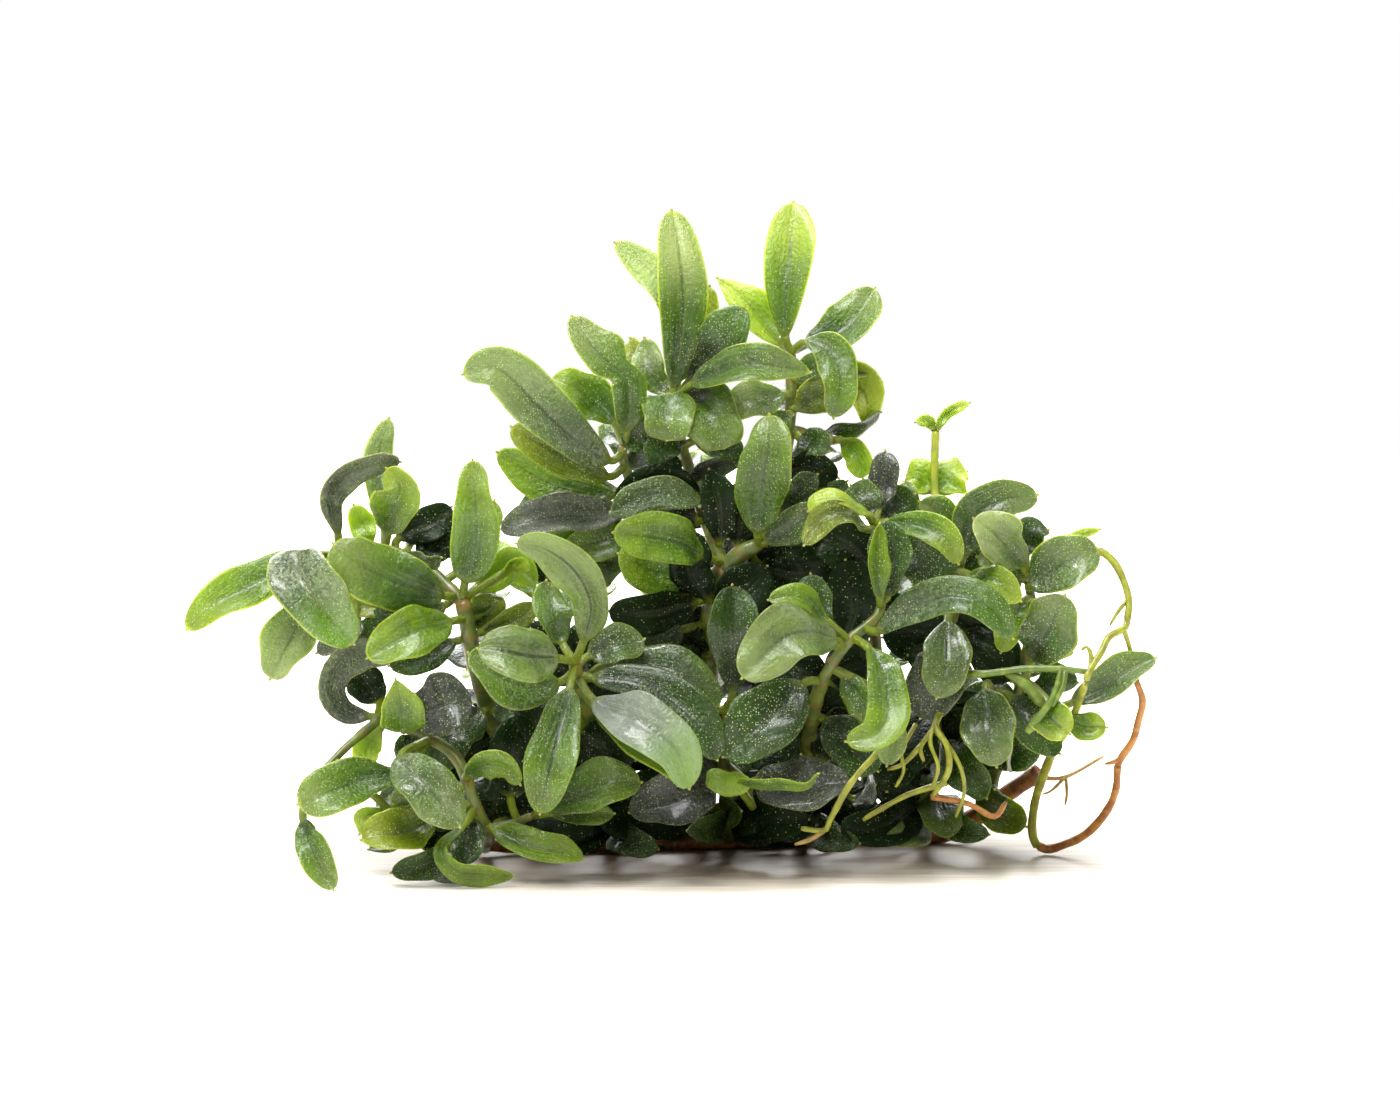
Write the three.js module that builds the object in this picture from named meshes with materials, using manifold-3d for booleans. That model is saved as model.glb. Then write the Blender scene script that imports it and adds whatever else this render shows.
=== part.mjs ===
// A clump of bucephalandra, the small creeping water plant, as lifted from its stone and set down.
// A rhizome lies along the ground, shoots fork from it, leathery leaves stand on short stalks all round
// the shoots, and thin roots hang and loop out on the right.
//
// Millimetres, +Z up, the ground at Z = 0, the origin under the middle of the clump. The plant is drawn
// in a leaning frame, as [across, up, back]: the frame leans back by leanDeg, so that "up" follows the
// way the clump leans from its front foot.

import * as THREE from "three";
import Module from "manifold-3d";

const wasm = await Module();
wasm.setup();

// ---- driving dimensions ----

const leanDeg = 7; // the drawing frame leans back from upright
const middle = { across: -0.03, back: 0.75 }; // the middle of the drawn clump, moved over the origin
const stalk = { halfWidth: 0.45, halfThick: 0.4 }; // a leaf's stalk
const blade = { halfThick: 0.36, tipHalfThick: 0.2, widest: 0.54, blunt: 0.44, fold: 12 };
const ownStations = [0.02, 0.2, 0.48, 0.76, 0.94]; // rings along the blade of a leaf with a node
const smallStations = [0.3, 0.76]; // and of a small leaf, fused to its shoot
const clearGap = 0.32; // air between one solid and the next
const ribLift = 0.45; // a rib stays this high over the ground
const stemSides = 4;
const rootSides = 4;
const stemStep = 6.6; // length of one stretch of a stem
const rootStep = 2.8;
const transportSteps = 12; // steps in which a leaf's side direction is carried along its rib
const plainness = 0.15; // a fused solid is simplified by up to this much

const tones = {
  lime: "#a8cc3c",
  bright: "#6fa832",
  green: "#4d8030",
  olive: "#7d8a35",
  pale: "#9db98a",
  silver: "#73857a",
  dark: "#2c4426",
  purple: "#4a4650",
  black: "#1c2420",
  bark: "#7a4a26",
  root: "#b9a63c",
  rust: "#b5702e",
};

// ---- the plant ----

// A stem is { points, thick }, thick being its diameters, spread from foot to end. A leaf with a node
// of its own is [name, tone, width, turn, rib], and a small one, fused to its shoot, has no name. A rib
// runs from where the blade starts to its tip. Turn is the blade's turning about its rib, in degrees:
// 0 shows its upper face to the front. A list of turns is spread from foot to tip. A last
// { fold, widest, blunt } changes the blade. A rosette leaf is [place along the first stem, heading,
// rise, length, width, tone]: heading 0 is right and 90 is back.

const shoots = [
  {
    name: "rhizome",
    tone: "bark",
    stems: [
      { points: [[37, 8.2, 5], [34, 6.2, 6.5], [30.5, 3.6, 8], [26, 1.75, 8.5], [18, 1.7, 8], [10, 1.45, 6],
        [2, 1.2, 4], [-6, 1, 2], [-14, 0.85, 0.5], [-19, 1, -1]], thick: [1.7, 2.2, 2, 1.5], sides: 8 },
      { points: [[36.4, 7.8, 5.4], [39.5, 7.7, 6], [43.5, 9.8, 7]], thick: [0.7, 0.4] },
      { points: [[39.7, 7.8, 6.1], [38.3, 6.4, 6.2], [37.4, 6, 6.4]], thick: [0.5, 0.4] },
      { points: [[39.7, 7.8, 6.1], [39.8, 6, 6], [39.6, 4.9, 6]], thick: [0.5, 0.4] },
    ],
  },
  {
    name: "crown_main_stem",
    tone: "olive",
    parent: "rhizome",
    stems: [
      { points: [[3, 1.2, 4.5], [3.4, 9, 0.5], [3.8, 18, -5], [4.2, 25, -8],
        [5.6, 29, -9.6]], thick: [2, 2.1] },
      { points: [[5.4, 28.6, -9.5], [7.5, 30.4, -10], [9, 31, -10.3]], thick: [1.9, 1.5] },
    ],
    leaves: [
      ["centre_upright_leaf", "green", 5.7, -12, [[8.7, 32.3, -12.3], [9, 35.7, -14.6],
        [9.8, 40.5, -16], [9.8, 43.9, -15]]],
      ["centre_pale_leaf", "bright", 5.2, 15, [[3.2, 30, -12], [0, 31.5, -15.6], [-5.6, 32.2, -18]]],
    ],
    small: [
      ["bright", 5.4, 12, [[2.4, 27.7, -10.8], [-1.8, 28.6, -12.5], [-5.2, 30, -13.5]]],
      ["black", 4.6, -20, [[2.6, 25.3, -11.2], [-2, 24.3, -14], [-5.8, 24.3, -16]]],
      ["black", 6.2, 20, [[9, 29, -8.4], [13, 28, -10.6], [17, 28.6, -11.2]]],
      ["black", 6.2, -25, [[6.5, 24.4, -9], [10.5, 23.2, -11.8], [13.2, 20, -12.4]]],
      ["black", 5.8, 30, [[6.6, 20, -7], [9.6, 16, -9.4], [11.5, 11.8, -10]]],
      ["dark", 5.4, -30, [[1.2, 22.5, -9.4], [-2.6, 20.4, -11], [-6.6, 19.6, -11.4]]],
    ],
  },
  {
    name: "crown_left_stem",
    tone: "olive",
    parent: "crown_main_stem",
    stems: [{ points: [[5.4, 28.6, -9.5], [3.4, 34, -8.6], [1.2, 41, -7.4],
      [0.3, 45.4, -6.6]], thick: [1.6, 1.1] }],
    leaves: [
      ["crown_tall_leaf", "green", 5.6, 8, [[0.4, 46.9, -7], [1.1, 55.5, -8.2],
        [0.5, 64.3, -6]], { widest: 0.6 }],
      ["crown_cross_leaf", "dark", 4.5, -16, [[2.4, 47, -9.6], [6.4, 49, -12.4], [10.4, 49.4, -13.8],
        [14, 48.2, -14]], { widest: 0.6 }],
    ],
    small: [
      ["silver", 3.9, 14, [[3, 35.4, -11.6], [-1.4, 36, -13.2], [-5.8, 34.3, -13.8]]],
      ["pale", 4.2, 10, [[0.4, 47.4, -5], [0.4, 53, -3], [-2.2, 57.8, -2.2], [-5.6, 61.1, -2.6]]],
      ["purple", 3.4, -20, [[-0.8, 47.2, -3.6], [-2.4, 50.4, -1.2], [-3, 53, -0.4]]],
      ["dark", 4.6, -14, [[1.7, 47.2, -5.8], [4.8, 51.4, -4.8], [7.4, 54.5, -5.4]]],
      ["olive", 4.1, 0, [[0.8, 47.5, -4], [2.8, 53, -1.6], [3.9, 56.8, -1.6]]],
      ["silver", 5.1, 6, [[0.1, 45.3, -8.8], [-0.2, 44.4, -11.8], [-0.6, 41.6, -13.4]]],
      ["silver", 4.8, -14, [[2.2, 45.2, -8.4], [4.8, 44, -11], [6.6, 41, -12.6]]],
      ["black", 4.4, -15, [[3, 35.6, -9.8], [-1.2, 37.2, -11], [-5.4, 35.4, -11.4]]],
      ["black", 3.8, 10, [[5, 31.4, -10], [4.9, 34.6, -11.2], [4, 38.4, -11.6]]],
    ],
    rosette: [[0.62, 125, 35, 13, 4, "dark"], [0.8, 75, 48, 14, 4.2, "green"],
      [0.45, 100, 28, 14, 4.4, "dark"]],
  },
  {
    name: "crown_right_stem",
    tone: "olive",
    parent: "crown_main_stem",
    stems: [
      { points: [[9, 31, -10.3], [11, 37, -8.8], [12, 43.6, -7.4], [12.1, 50.2, -7.8]], thick: [1.5, 1.2] },
      { points: [[12, 42.4, -7.6], [14, 41.8, -6.8], [16.2, 41.4, -6.4]], thick: [1.3, 1.7] },
    ],
    leaves: [
      ["crown_right_tall_leaf", "bright", 5, -10, [[11.6, 51.8, -8], [11.3, 57, -7.6],
        [12.5, 61.8, -6.6], [12.2, 65.2, -5.2]], { widest: 0.6 }],
      ["crown_lime_leaf", "lime", 4.4, 15, [[10.6, 51.6, -6.8], [8.8, 54, -5.8],
        [4.8, 57.5, -4.8]], { widest: 0.42, blunt: 0.8 }],
      ["crown_right_leaf", "green", 5.2, -22, [[13.4, 51.2, -7.4], [16.8, 53.7, -6.6], [19.8, 57, -4.8]]],
      ["crown_curled_leaf", "bright", 4.1, -18, [[13.8, 51.2, -9.4], [16.2, 50.3, -10.6],
        [17.2, 47.6, -11.6], [17, 43.7, -11.8]]],
    ],
    small: [
      ["dark", 3.4, 25, [[11.2, 34.4, -10], [13, 36.6, -10.8], [14.6, 37.8, -11.4]]],
      ["dark", 3.2, 15, [[11.8, 33.6, -8.8], [15.4, 35.4, -9.4], [17.6, 37.3, -9.6]]],
      ["olive", 5, -10, [[13.6, 45.2, -5.6], [17.2, 47.4, -4], [20.2, 46.8, -3.4], [21.1, 43.8, -3.4]]],
      ["dark", 2.4, 55, [[14.6, 43.2, -5], [18, 43.1, -3.8], [21, 43.6, -3.4]]],
      ["bright", 3.9, 20, [[10.8, 46, -8.8], [8.5, 45.3, -10], [5.6, 44, -10.4]]],
      ["dark", 3.5, -20, [[13, 41.6, -8.8], [14.6, 40.9, -10.4], [15.8, 40.4, -10.8]]],
      ["lime", 2.9, 0, [[17.2, 41.4, -5], [18.6, 40, -4.4], [19.3, 37.7, -4.4]]],
    ],
    rosette: [[0.35, 60, 30, 13, 4.2, "dark"], [0.62, 110, 40, 12, 4, "green"],
      [0.8, 30, 30, 10, 3.6, "green"]],
  },
  {
    name: "left_high_stem",
    tone: "bright",
    parent: "crown_main_stem",
    stems: [{ points: [[3.9, 26, -8.3], [0, 31.4, -8.4], [-3.4, 36.4, -9.2], [-4.7, 39.6, -10],
      [-4.6, 41, -10.3]], thick: [1.5, 1] }],
    leaves: [
      ["twisted_leaf", "green", 5.6, [10, 40, 25], [[-4.4, 42.6, -11], [-3.9, 45.6, -12.6],
        [-4.3, 48.8, -13], [-6.5, 51.1, -12.4], [-9.6, 54.3, -11.6]]],
      ["long_grey_leaf", "silver", 5.1, 16, [[-6, 39.6, -12.6], [-9, 41.6, -15.6], [-13, 45.3, -18.4],
        [-17, 48.8, -19.6], [-20.2, 48.1, -19.8]], { widest: 0.55 }],
    ],
    small: [
      ["olive", 4.4, 10, [[-6.2, 37.8, -11.6], [-10, 39.5, -13.6], [-14, 41.6, -14.6],
        [-15.7, 42.7, -14.8]]],
      ["bright", 4.2, 22, [[-5.6, 43, -8.8], [-8, 45.4, -8.6], [-11.8, 47.5, -9]]],
      ["bright", 4.4, 12, [[-5.6, 36, -9.4], [-11, 36.7, -10.2], [-17.1, 40.2, -10.6]]],
      ["purple", 4, 36, [[-4.4, 34.4, -10.4], [-11, 33.5, -12.6], [-16.8, 32.5, -13]]],
    ],
    rosette: [[0.35, 130, 30, 13, 4.2, "green"], [0.7, 165, 10, 13, 4, "dark"],
      [0.85, 100, 45, 11, 3.8, "green"]],
  },
  {
    name: "front_stem",
    tone: "rust",
    parent: "rhizome",
    stems: [{ points: [[-6, 1, 2], [-6, 6.5, -5], [-7.6, 12.5, -12.6], [-9, 17, -18],
      [-9.4, 19.4, -20.4]], thick: [1.6, 1.3] }],
    leaves: [
      ["front_arched_leaf", "pale", 4.6, -14, [[-8.5, 21.6, -22.4], [-7.8, 25, -25.4],
        [-9.3, 28.5, -27.6], [-12.2, 30.6, -28.2], [-15.2, 30.9, -27.8]]],
      ["front_pale_leaf", "pale", 6.2, 18, [[-11.2, 19.8, -23], [-14.4, 20.1, -26.2], [-18.8, 20.9, -27]]],
      ["front_hanging_leaf", "green", 5.2, 8, [[-9.9, 16.8, -22.6], [-10.7, 13.2, -24.8],
        [-11.8, 9, -26.2], [-12.8, 4.5, -26]], { widest: 0.56 }],
      ["front_silver_leaf", "silver", 5.3, -20, [[-7.4, 15.6, -22.2], [-3.4, 13.6, -25.6],
        [0.2, 10.8, -27.2], [2, 7, -26.6]]],
    ],
    small: [
      ["silver", 5.6, 12, [[-11, 17.4, -20.8], [-15, 17.1, -22], [-19.8, 20.3, -22.8]]],
      ["dark", 5, -18, [[-7.6, 17.8, -20], [-2, 17, -21.4], [3, 13, -22.8], [4.6, 9.8, -22.4]]],
      ["silver", 4.6, -20, [[-8, 20, -18.6], [-4.8, 21.1, -18.4], [-2.6, 21.9, -18]]],
      ["silver", 4, 24, [[-10.6, 21.2, -18.8], [-11.8, 24.5, -18.8], [-12, 27.5, -18]]],
      ["silver", 5, -16, [[-5.6, 19.4, -16.8], [1, 18.2, -17.4], [5, 15.2, -17.8]]],
      ["black", 5.6, 20, [[-8.6, 12.6, -15], [-6.6, 10.8, -17.4], [-3.6, 9.6, -18]]],
      ["black", 4.9, -20, [[-9.6, 13.4, -14.6], [-13, 13.2, -17], [-14.6, 15.6, -17.8]]],
      ["black", 5.4, 30, [[-6, 9, -8.6], [-2, 11.6, -11], [1.6, 13, -12]]],
    ],
  },
  {
    name: "centre_stem",
    tone: "olive",
    parent: "rhizome",
    stems: [
      { points: [[6, 1.35, 5], [5.6, 5, -3.4], [5.4, 10, -9.6], [5.6, 14.6, -13.4]], thick: [1.5, 1.1] },
      { points: [[5.6, 9.2, -8.8], [7.4, 7.6, -11.6], [8.2, 5, -12.6]], thick: [0.8, 0.7] },
    ],
    leaves: [
      ["paddle_leaf", "dark", 5.5, 10, [[6.3, 16.6, -14.8], [6.2, 21.2, -16.4],
        [6.3, 26.9, -16.8]], { widest: 0.62 }],
      ["low_purple_leaf", "purple", 5.8, 18, [[4.4, 7, -13], [1, 5.8, -15.8], [-3.9, 4.6, -17]]],
      ["low_speckled_leaf", "purple", 6.2, -20, [[8.6, 7.6, -14.6], [12.6, 7.1, -17.4],
        [17.8, 7.7, -18.2]]],
    ],
    small: [
      ["lime", 2.8, -15, [[4, 8.4, -18], [5, 7.5, -20.4], [7, 7.6, -21]]],
      ["bright", 2, 42, [[7, 7.4, -20.4], [10.5, 7.3, -22.6], [13.5, 7, -23.2], [14.8, 8.1, -23]]],
      ["olive", 3.2, 30, [[4.4, 14.6, -14], [2.8, 13.4, -16], [1.2, 12.8, -16.4]]],
      ["black", 5.6, 20, [[3.4, 4.6, -3.6], [-2.6, 2.7, -7], [-7, 2, -8.4]]],
      ["black", 5.8, -20, [[7.4, 4.4, -4.6], [11, 2.8, -8], [14.4, 2.2, -8.6]]],
      ["black", 6, -15, [[7.4, 11, -11], [10.2, 11.2, -13.4], [12.8, 10.4, -14.2]]],
      ["black", 5.4, 15, [[3.6, 8.4, -8.2], [0, 6.8, -10], [-4.4, 6.4, -10.6]]],
    ],
  },
  {
    name: "centre_right_stem",
    tone: "rust",
    parent: "rhizome",
    stems: [
      { points: [[13, 1.55, 6.8], [13.4, 7, -3], [14, 13.4, -11.4], [15.4, 18, -16.4],
        [17.8, 21.5, -17.4], [20.8, 24.4, -15.8],
        [20.7, 29, -14.4], [20.3, 33, -14.4]], thick: [1.7, 1.9, 1.1, 0.8] },
    ],
    leaves: [
      ["broad_pale_leaf", "pale", 6.4, 20, [[16.4, 21.6, -19.4], [13.8, 22.4, -22.4],
        [10.8, 21.6, -24.6], [7.2, 17.9, -25]]],
      ["spotted_leaf", "dark", 6.9, 14, [[13.2, 17.2, -17.2], [10, 13.9, -19.4], [5.4, 10.2, -21]]],
      ["bright_curled_leaf", "bright", 4.5, -14, [[19.8, 20.6, -19.2], [21.3, 18, -21.6],
        [21.5, 14.4, -23.4], [20.1, 12.2, -24], [17.5, 11.6, -24]]],
      ["long_arched_leaf", "silver", 4.2, -26, [[20.6, 22.5, -18.6], [23.6, 24.6, -20.8],
        [27.5, 25.9, -22.4], [31.3, 24.9, -23], [33.9, 21.8, -22.6]]],
    ],
    small: [
      ["bright", 2.8, 40, [[15.4, 23.6, -19], [12.6, 26, -20.8], [9.9, 25.7, -21.4]]],
      ["dark", 4, -10, [[15.2, 22, -17.4], [14.2, 25.6, -18], [14, 28, -17.4]]],
      ["pale", 3.6, 15, [[20.4, 16.4, -16.8], [21.9, 12.4, -18], [21.5, 9.2, -18]]],
      ["green", 3.4, 20, [[17.2, 18, -16.8], [19, 15.4, -17.4], [19.8, 13.2, -17.2]]],
      ["dark", 5.4, -10, [[15.4, 13.6, -12.4], [18.6, 10.6, -14], [20.6, 8.6, -14]]],
      ["dark", 4.7, -20, [[21.6, 26, -16.4], [22, 29.6, -16.8], [21.6, 33.4, -16.6]]],
      ["lime", 2.4, 30, [[20.8, 25.8, -17.4], [20.5, 29.4, -18.2], [20.8, 33.2, -18]]],
      ["lime", 2.5, 48, [[19.6, 34, -15.4], [17.4, 35.2, -16.6], [14.4, 35.6, -17], [13.6, 34.6, -17]]],
      ["olive", 3.2, 36, [[19.4, 32.6, -16], [17.3, 33.9, -18], [15.2, 33.6, -18.8], [13.4, 31, -18.8]]],
      ["bright", 3.2, -12, [[21.6, 33.2, -15.6], [25, 32.9, -17.6], [27.5, 31.5, -18.4],
        [28.6, 29.2, -18.4]]],
      ["dark", 5.6, -20, [[22, 29.6, -13.6], [25, 29.4, -14], [28, 27.4, -13.8]]],
      ["silver", 4.1, 20, [[20, 34, -13.4], [19, 35.8, -13.4], [18, 36.9, -13]]],
      ["purple", 3.4, -10, [[20.7, 34.6, -12.8], [21.3, 38, -11.8], [21.4, 40.2, -11.2]]],
      ["black", 6, 25, [[14.8, 9.6, -8.4], [16, 14, -9.2], [15, 18.8, -9.4]]],
      ["black", 6.2, -25, [[16.8, 20.6, -14.4], [18.4, 24.6, -13.6], [17.4, 29.4, -13.4]]],
    ],
  },
  {
    name: "right_stem",
    tone: "olive",
    parent: "rhizome",
    stems: [
      { points: [[25, 1.75, 8.5], [26.4, 9, 2.4], [27.6, 19, -5.6], [28.7, 28.5, -12]], thick: [1.6, 1.1] },
      { points: [[28.2, 26, -10.4], [27.2, 32, -8], [26.4, 36.6, -6],
        [26.5, 42.6, -6]], thick: [0.9, 0.6] },
    ],
    leaves: [
      ["right_top_leaf", "silver", 4.6, -14, [[29.2, 30, -13], [30.2, 33.4, -14], [33, 35.4, -14],
        [36.6, 36.2, -13]]],
      ["right_hanging_leaf", "silver", 5.2, -6, [[27.6, 23.4, -14.8], [27.4, 19.6, -17.8],
        [26.5, 15.9, -18.6]], { widest: 0.58, blunt: 0.5 }],
    ],
    small: [
      ["bright", 3.4, -25, [[29.8, 28, -14.2], [32, 27.5, -16.6], [34.6, 25.6, -18]]],
      ["green", 3.4, 20, [[28, 31, -10], [27, 33.9, -10.6], [25, 35.3, -11.2]]],
      ["purple", 6.4, 15, [[28, 20.6, -10], [26.6, 17.2, -13.2], [24.8, 14, -14]]],
      ["lime", 3.9, 20, [[25.8, 37, -5.6], [24.4, 38.4, -5.2], [22.8, 39.3, -4.8]]],
      ["lime", 4.1, -20, [[27, 36.6, -5.6], [28.6, 38.3, -5], [30, 38.6, -4.6]]],
      ["lime", 1.3, 0, [[26.3, 42.7, -6], [25.6, 43.4, -6], [24.6, 43.3, -6]]],
      ["lime", 1.2, 0, [[26.7, 42.8, -6], [27.8, 44.2, -6], [29.8, 45.2, -5.6]]],
      ["green", 2.6, -10, [[24.6, 32.8, -8.6], [23.7, 35.6, -8], [23.5, 37.4, -7.8]]],
      ["black", 5.8, -25, [[29, 22, -8.4], [31.8, 20.4, -9.4], [34, 17.6, -9.6]]],
      ["black", 6, 20, [[26, 14.6, -4.6], [23.6, 11.4, -8], [21.6, 6.6, -9]]],
      ["green", 5.1, -15, [[26.6, 5.8, 2.4], [27.2, 4, -2.6], [27.8, 1.8, -4]]],
      ["black", 4.9, 10, [[24.8, 5.4, 0.8], [21.8, 3, -5.6], [17, 2.5, -9.4]]],
      ["dark", 4.5, 25, [[27.4, 11, -2.6], [29.6, 8.4, -7], [31.4, 5.8, -8]]],
    ],
    rosette: [[0.55, 75, 25, 14, 4.4, "dark"], [0.8, 110, 40, 13, 4.2, "green"]],
  },
  {
    name: "far_right_stem",
    tone: "olive",
    parent: "rhizome",
    stems: [
      { points: [[31.4, 4.3, 7.6], [33.2, 11, -0.6], [35, 17.4, -8], [36, 24, -11.6],
        [35.6, 27.4, -12.6]], thick: [1.6, 0.9] },
      { points: [[33.6, 12.4, -2.2], [32.6, 15.6, -8.4], [31.6, 17.3, -12.6]], thick: [1, 0.8] },
      { points: [[35, 17.4, -8], [34.6, 18, -11.6], [36.8, 16, -14], [38, 14.6, -15]], thick: [1, 1.2] },
    ],
    leaves: [
      ["far_right_wet_leaf", "silver", 5.2, -16, [[36.4, 27.2, -13.8], [38.6, 29, -14.8],
        [42.7, 30.4, -14.8]]],
      ["right_round_leaf", "silver", 6, -12, [[36, 19.6, -13.6], [37.4, 22.2, -15.8],
        [39.2, 26, -16.4]], { blunt: 0.5 }],
      ["low_oval_leaf", "silver", 5.5, 6, [[31.4, 16.6, -14.4], [31.6, 13, -16.6],
        [32.4, 9.1, -17]], { blunt: 0.5 }],
      ["far_right_leaf", "silver", 4.2, -24, [[40, 15.4, -15.2], [43.4, 17.1, -15],
        [48.2, 19.8, -14.6]], { fold: 30 }],
    ],
    small: [
      ["pale", 5, 22, [[35, 29, -14.2], [32.9, 31.4, -16.6], [30.2, 33.6, -17.4]]],
      ["dark", 3.2, -15, [[35.4, 30, -10.6], [36.2, 32.4, -9.8], [37.7, 32.9, -9.2]]],
      ["lime", 1.3, 0, [[36.8, 29, -11], [40.5, 31.8, -10], [42.8, 32.5, -9.6]]],
      ["dark", 4.5, -18, [[34, 15.8, -11.4], [36.2, 12.6, -12.8], [38.8, 10.4, -13]]],
      ["lime", 5, 0, [[37.6, 14.6, -17], [38.4, 13.5, -18],
        [39.6, 12.3, -17.8]], { fold: 30, widest: 0.4 }],
      ["bright", 3.1, -10, [[39.4, 13.6, -15], [41.4, 13, -15.2], [43.3, 12.9, -15.2]]],
    ],
    rosette: [[0.35, 70, 30, 12, 4.2, "dark"], [0.62, 60, 40, 13, 4.2, "green"],
      [0.8, 20, 30, 10, 3.8, "dark"],
      [0.5, 10, 10, 9, 3.6, "green"]],
  },
  {
    name: "left_stem",
    tone: "olive",
    parent: "rhizome",
    stems: [
      { points: [[-13, 0.9, 0.7], [-15.6, 8, -4.4], [-18.4, 15.6, -10.4], [-19.8, 21.4, -13.8],
        [-20.6, 25.6, -14.2]], thick: [1.8, 1.6] },
      { points: [[-20.5, 25.2, -14.2], [-24, 28.6, -12], [-28, 30.4, -11.4],
        [-33, 30, -12.6]], thick: [1.3, 1] },
    ],
    leaves: [
      ["left_upright_leaf", "bright", 4.9, -8, [[-20.3, 27.6, -15], [-19.8, 31, -16.6],
        [-19.8, 35, -17.4], [-20, 39.4, -16.6]]],
      ["left_oval_leaf", "dark", 6.4, 14, [[-22.8, 26.1, -15.8], [-27, 27.7, -18], [-31.3, 30.5, -19.4],
        [-33.2, 31.9, -19.2]]],
      ["left_bright_leaf", "bright", 5.2, 20, [[-22, 23.2, -17], [-25.6, 22, -20.4], [-29.9, 20, -22.2]]],
      ["folded_spotted_leaf", "silver", 6.7, [20, 0, -10], [[-34.4, 29.8, -14], [-36.2, 30.6, -16.4],
        [-37, 28.3, -19.2], [-34.8, 24.4, -20.8], [-31.9, 21.3, -20.6]]],
      ["far_left_leaf", "bright", 4.8, 26, [[-34.8, 30.2, -12.4], [-39, 28.6, -13.8],
        [-44.5, 26.3, -15.2], [-48, 22.8, -15.8]]],
    ],
    small: [
      ["olive", 3.6, 0, [[-19.6, 23, -12.4], [-18.2, 24.6, -11.6], [-17.4, 26.4, -11]]],
      ["lime", 3.9, 15, [[-19.2, 26.6, -12.6], [-16, 29, -9], [-12.8, 27.4, -7.4]]],
      ["lime", 2, 40, [[-16.6, 28.2, -11.6], [-15, 29.4, -11.4], [-14.2, 28.2, -11]]],
      ["pale", 5.4, 20, [[-34, 26, -12.6], [-37, 22.6, -12.8], [-39.4, 17.9, -12.6]]],
      ["purple", 3.9, 38, [[-33.2, 32.2, -12.8], [-33.8, 35, -13.4], [-32, 37.8, -14], [-29, 38.9, -14],
        [-27, 38.8, -13.6]]],
      ["pale", 3.1, 10, [[-28.4, 33, -10.2], [-29, 39.5, -9.4], [-28, 43.5, -9.4]]],
      ["bright", 4.9, -10, [[-28, 32.2, -12.6], [-27.4, 34.6, -14.4], [-26.8, 36.8, -15.4],
        [-28.2, 38.3, -15.8]]],
      ["black", 3.9, -20, [[-27, 31.6, -10.4], [-24, 32.9, -9.8], [-21.8, 34.8, -9.6]]],
      ["lime", 1.9, 0, [[-30.4, 32.2, -10.4], [-31.8, 34.9, -10.2]]],
      ["lime", 1.9, 0, [[-25.6, 31.6, -9.4], [-23.9, 34.8, -8.6]]],
      ["silver", 2.1, 30, [[-26.6, 30, -13], [-24.4, 29.2, -14.2], [-22.8, 29.8, -14.2]]],
      ["dark", 5.6, 20, [[-18.6, 14.4, -11], [-21.6, 12.4, -13.4], [-23.8, 8.6, -14]]],
      ["dark", 5.4, -20, [[-17.6, 14.6, -10.4], [-14, 15.4, -13], [-11.2, 13.4, -13.4]]],
    ],
    rosette: [[0.4, 100, 25, 14, 4.6, "dark"], [0.55, 160, 15, 14, 4.6, "green"],
      [0.72, 110, 35, 13, 4.2, "dark"],
      [0.9, 70, 40, 12, 4.2, "green"], [0.3, 190, 5, 14, 4.6, "dark"]],
  },
  {
    name: "low_left_stem",
    tone: "olive",
    parent: "rhizome",
    stems: [
      { points: [[-18.6, 1, -0.9], [-18.2, 1.8, -8], [-18.2, 2.7, -16], [-19.2, 5, -19.4],
        [-20.2, 8, -19.8],
        [-21.6, 10.4, -19], [-25, 12.4, -17.6], [-29, 13.8, -17.4]], thick: [1.6, 1.4, 1.2, 1] },
      { points: [[-28.8, 13.7, -17.4], [-32.2, 10.8, -20.2], [-34.6, 8, -21.8],
        [-36.2, 5.2, -22.4]], thick: [0.9, 0.8] },
      { points: [[-18.2, 2.8, -16.4], [-15.6, 3.4, -16.6], [-13.4, 4.2, -17.2]], thick: [0.9, 0.8] },
    ],
    leaves: [
      ["lime_pointed_leaf", "bright", 4.8, 6, [[-26.4, 12.8, -20.4], [-26.5, 14.8, -22.6],
        [-27.1, 17.7, -23]], { widest: 0.32, blunt: 0.8 }],
      ["dark_round_leaf", "purple", 6.6, -10, [[-25.4, 14.4, -18.4], [-23, 15, -20],
        [-19.6, 15.5, -20.2]], { blunt: 0.5 }],
      ["low_left_bar_leaf", "green", 5.7, 24, [[-26.4, 8.6, -20.6], [-30.6, 7.8, -23],
        [-34, 6.4, -24.4], [-36.7, 5.4, -24.6]], { widest: 0.66 }],
      ["tail_leaf", "pale", 3.4, [40, 5, 0], [[-36.6, 3.6, -23.4], [-36.4, 0.4, -25.8],
        [-34, -2.9, -27.2]]],
      ["low_silver_leaf", "silver", 5.7, -14, [[-26.6, 10, -22.8], [-24, 7.2, -25.6], [-20.7, 3.3, -26.2]]],
    ],
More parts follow.
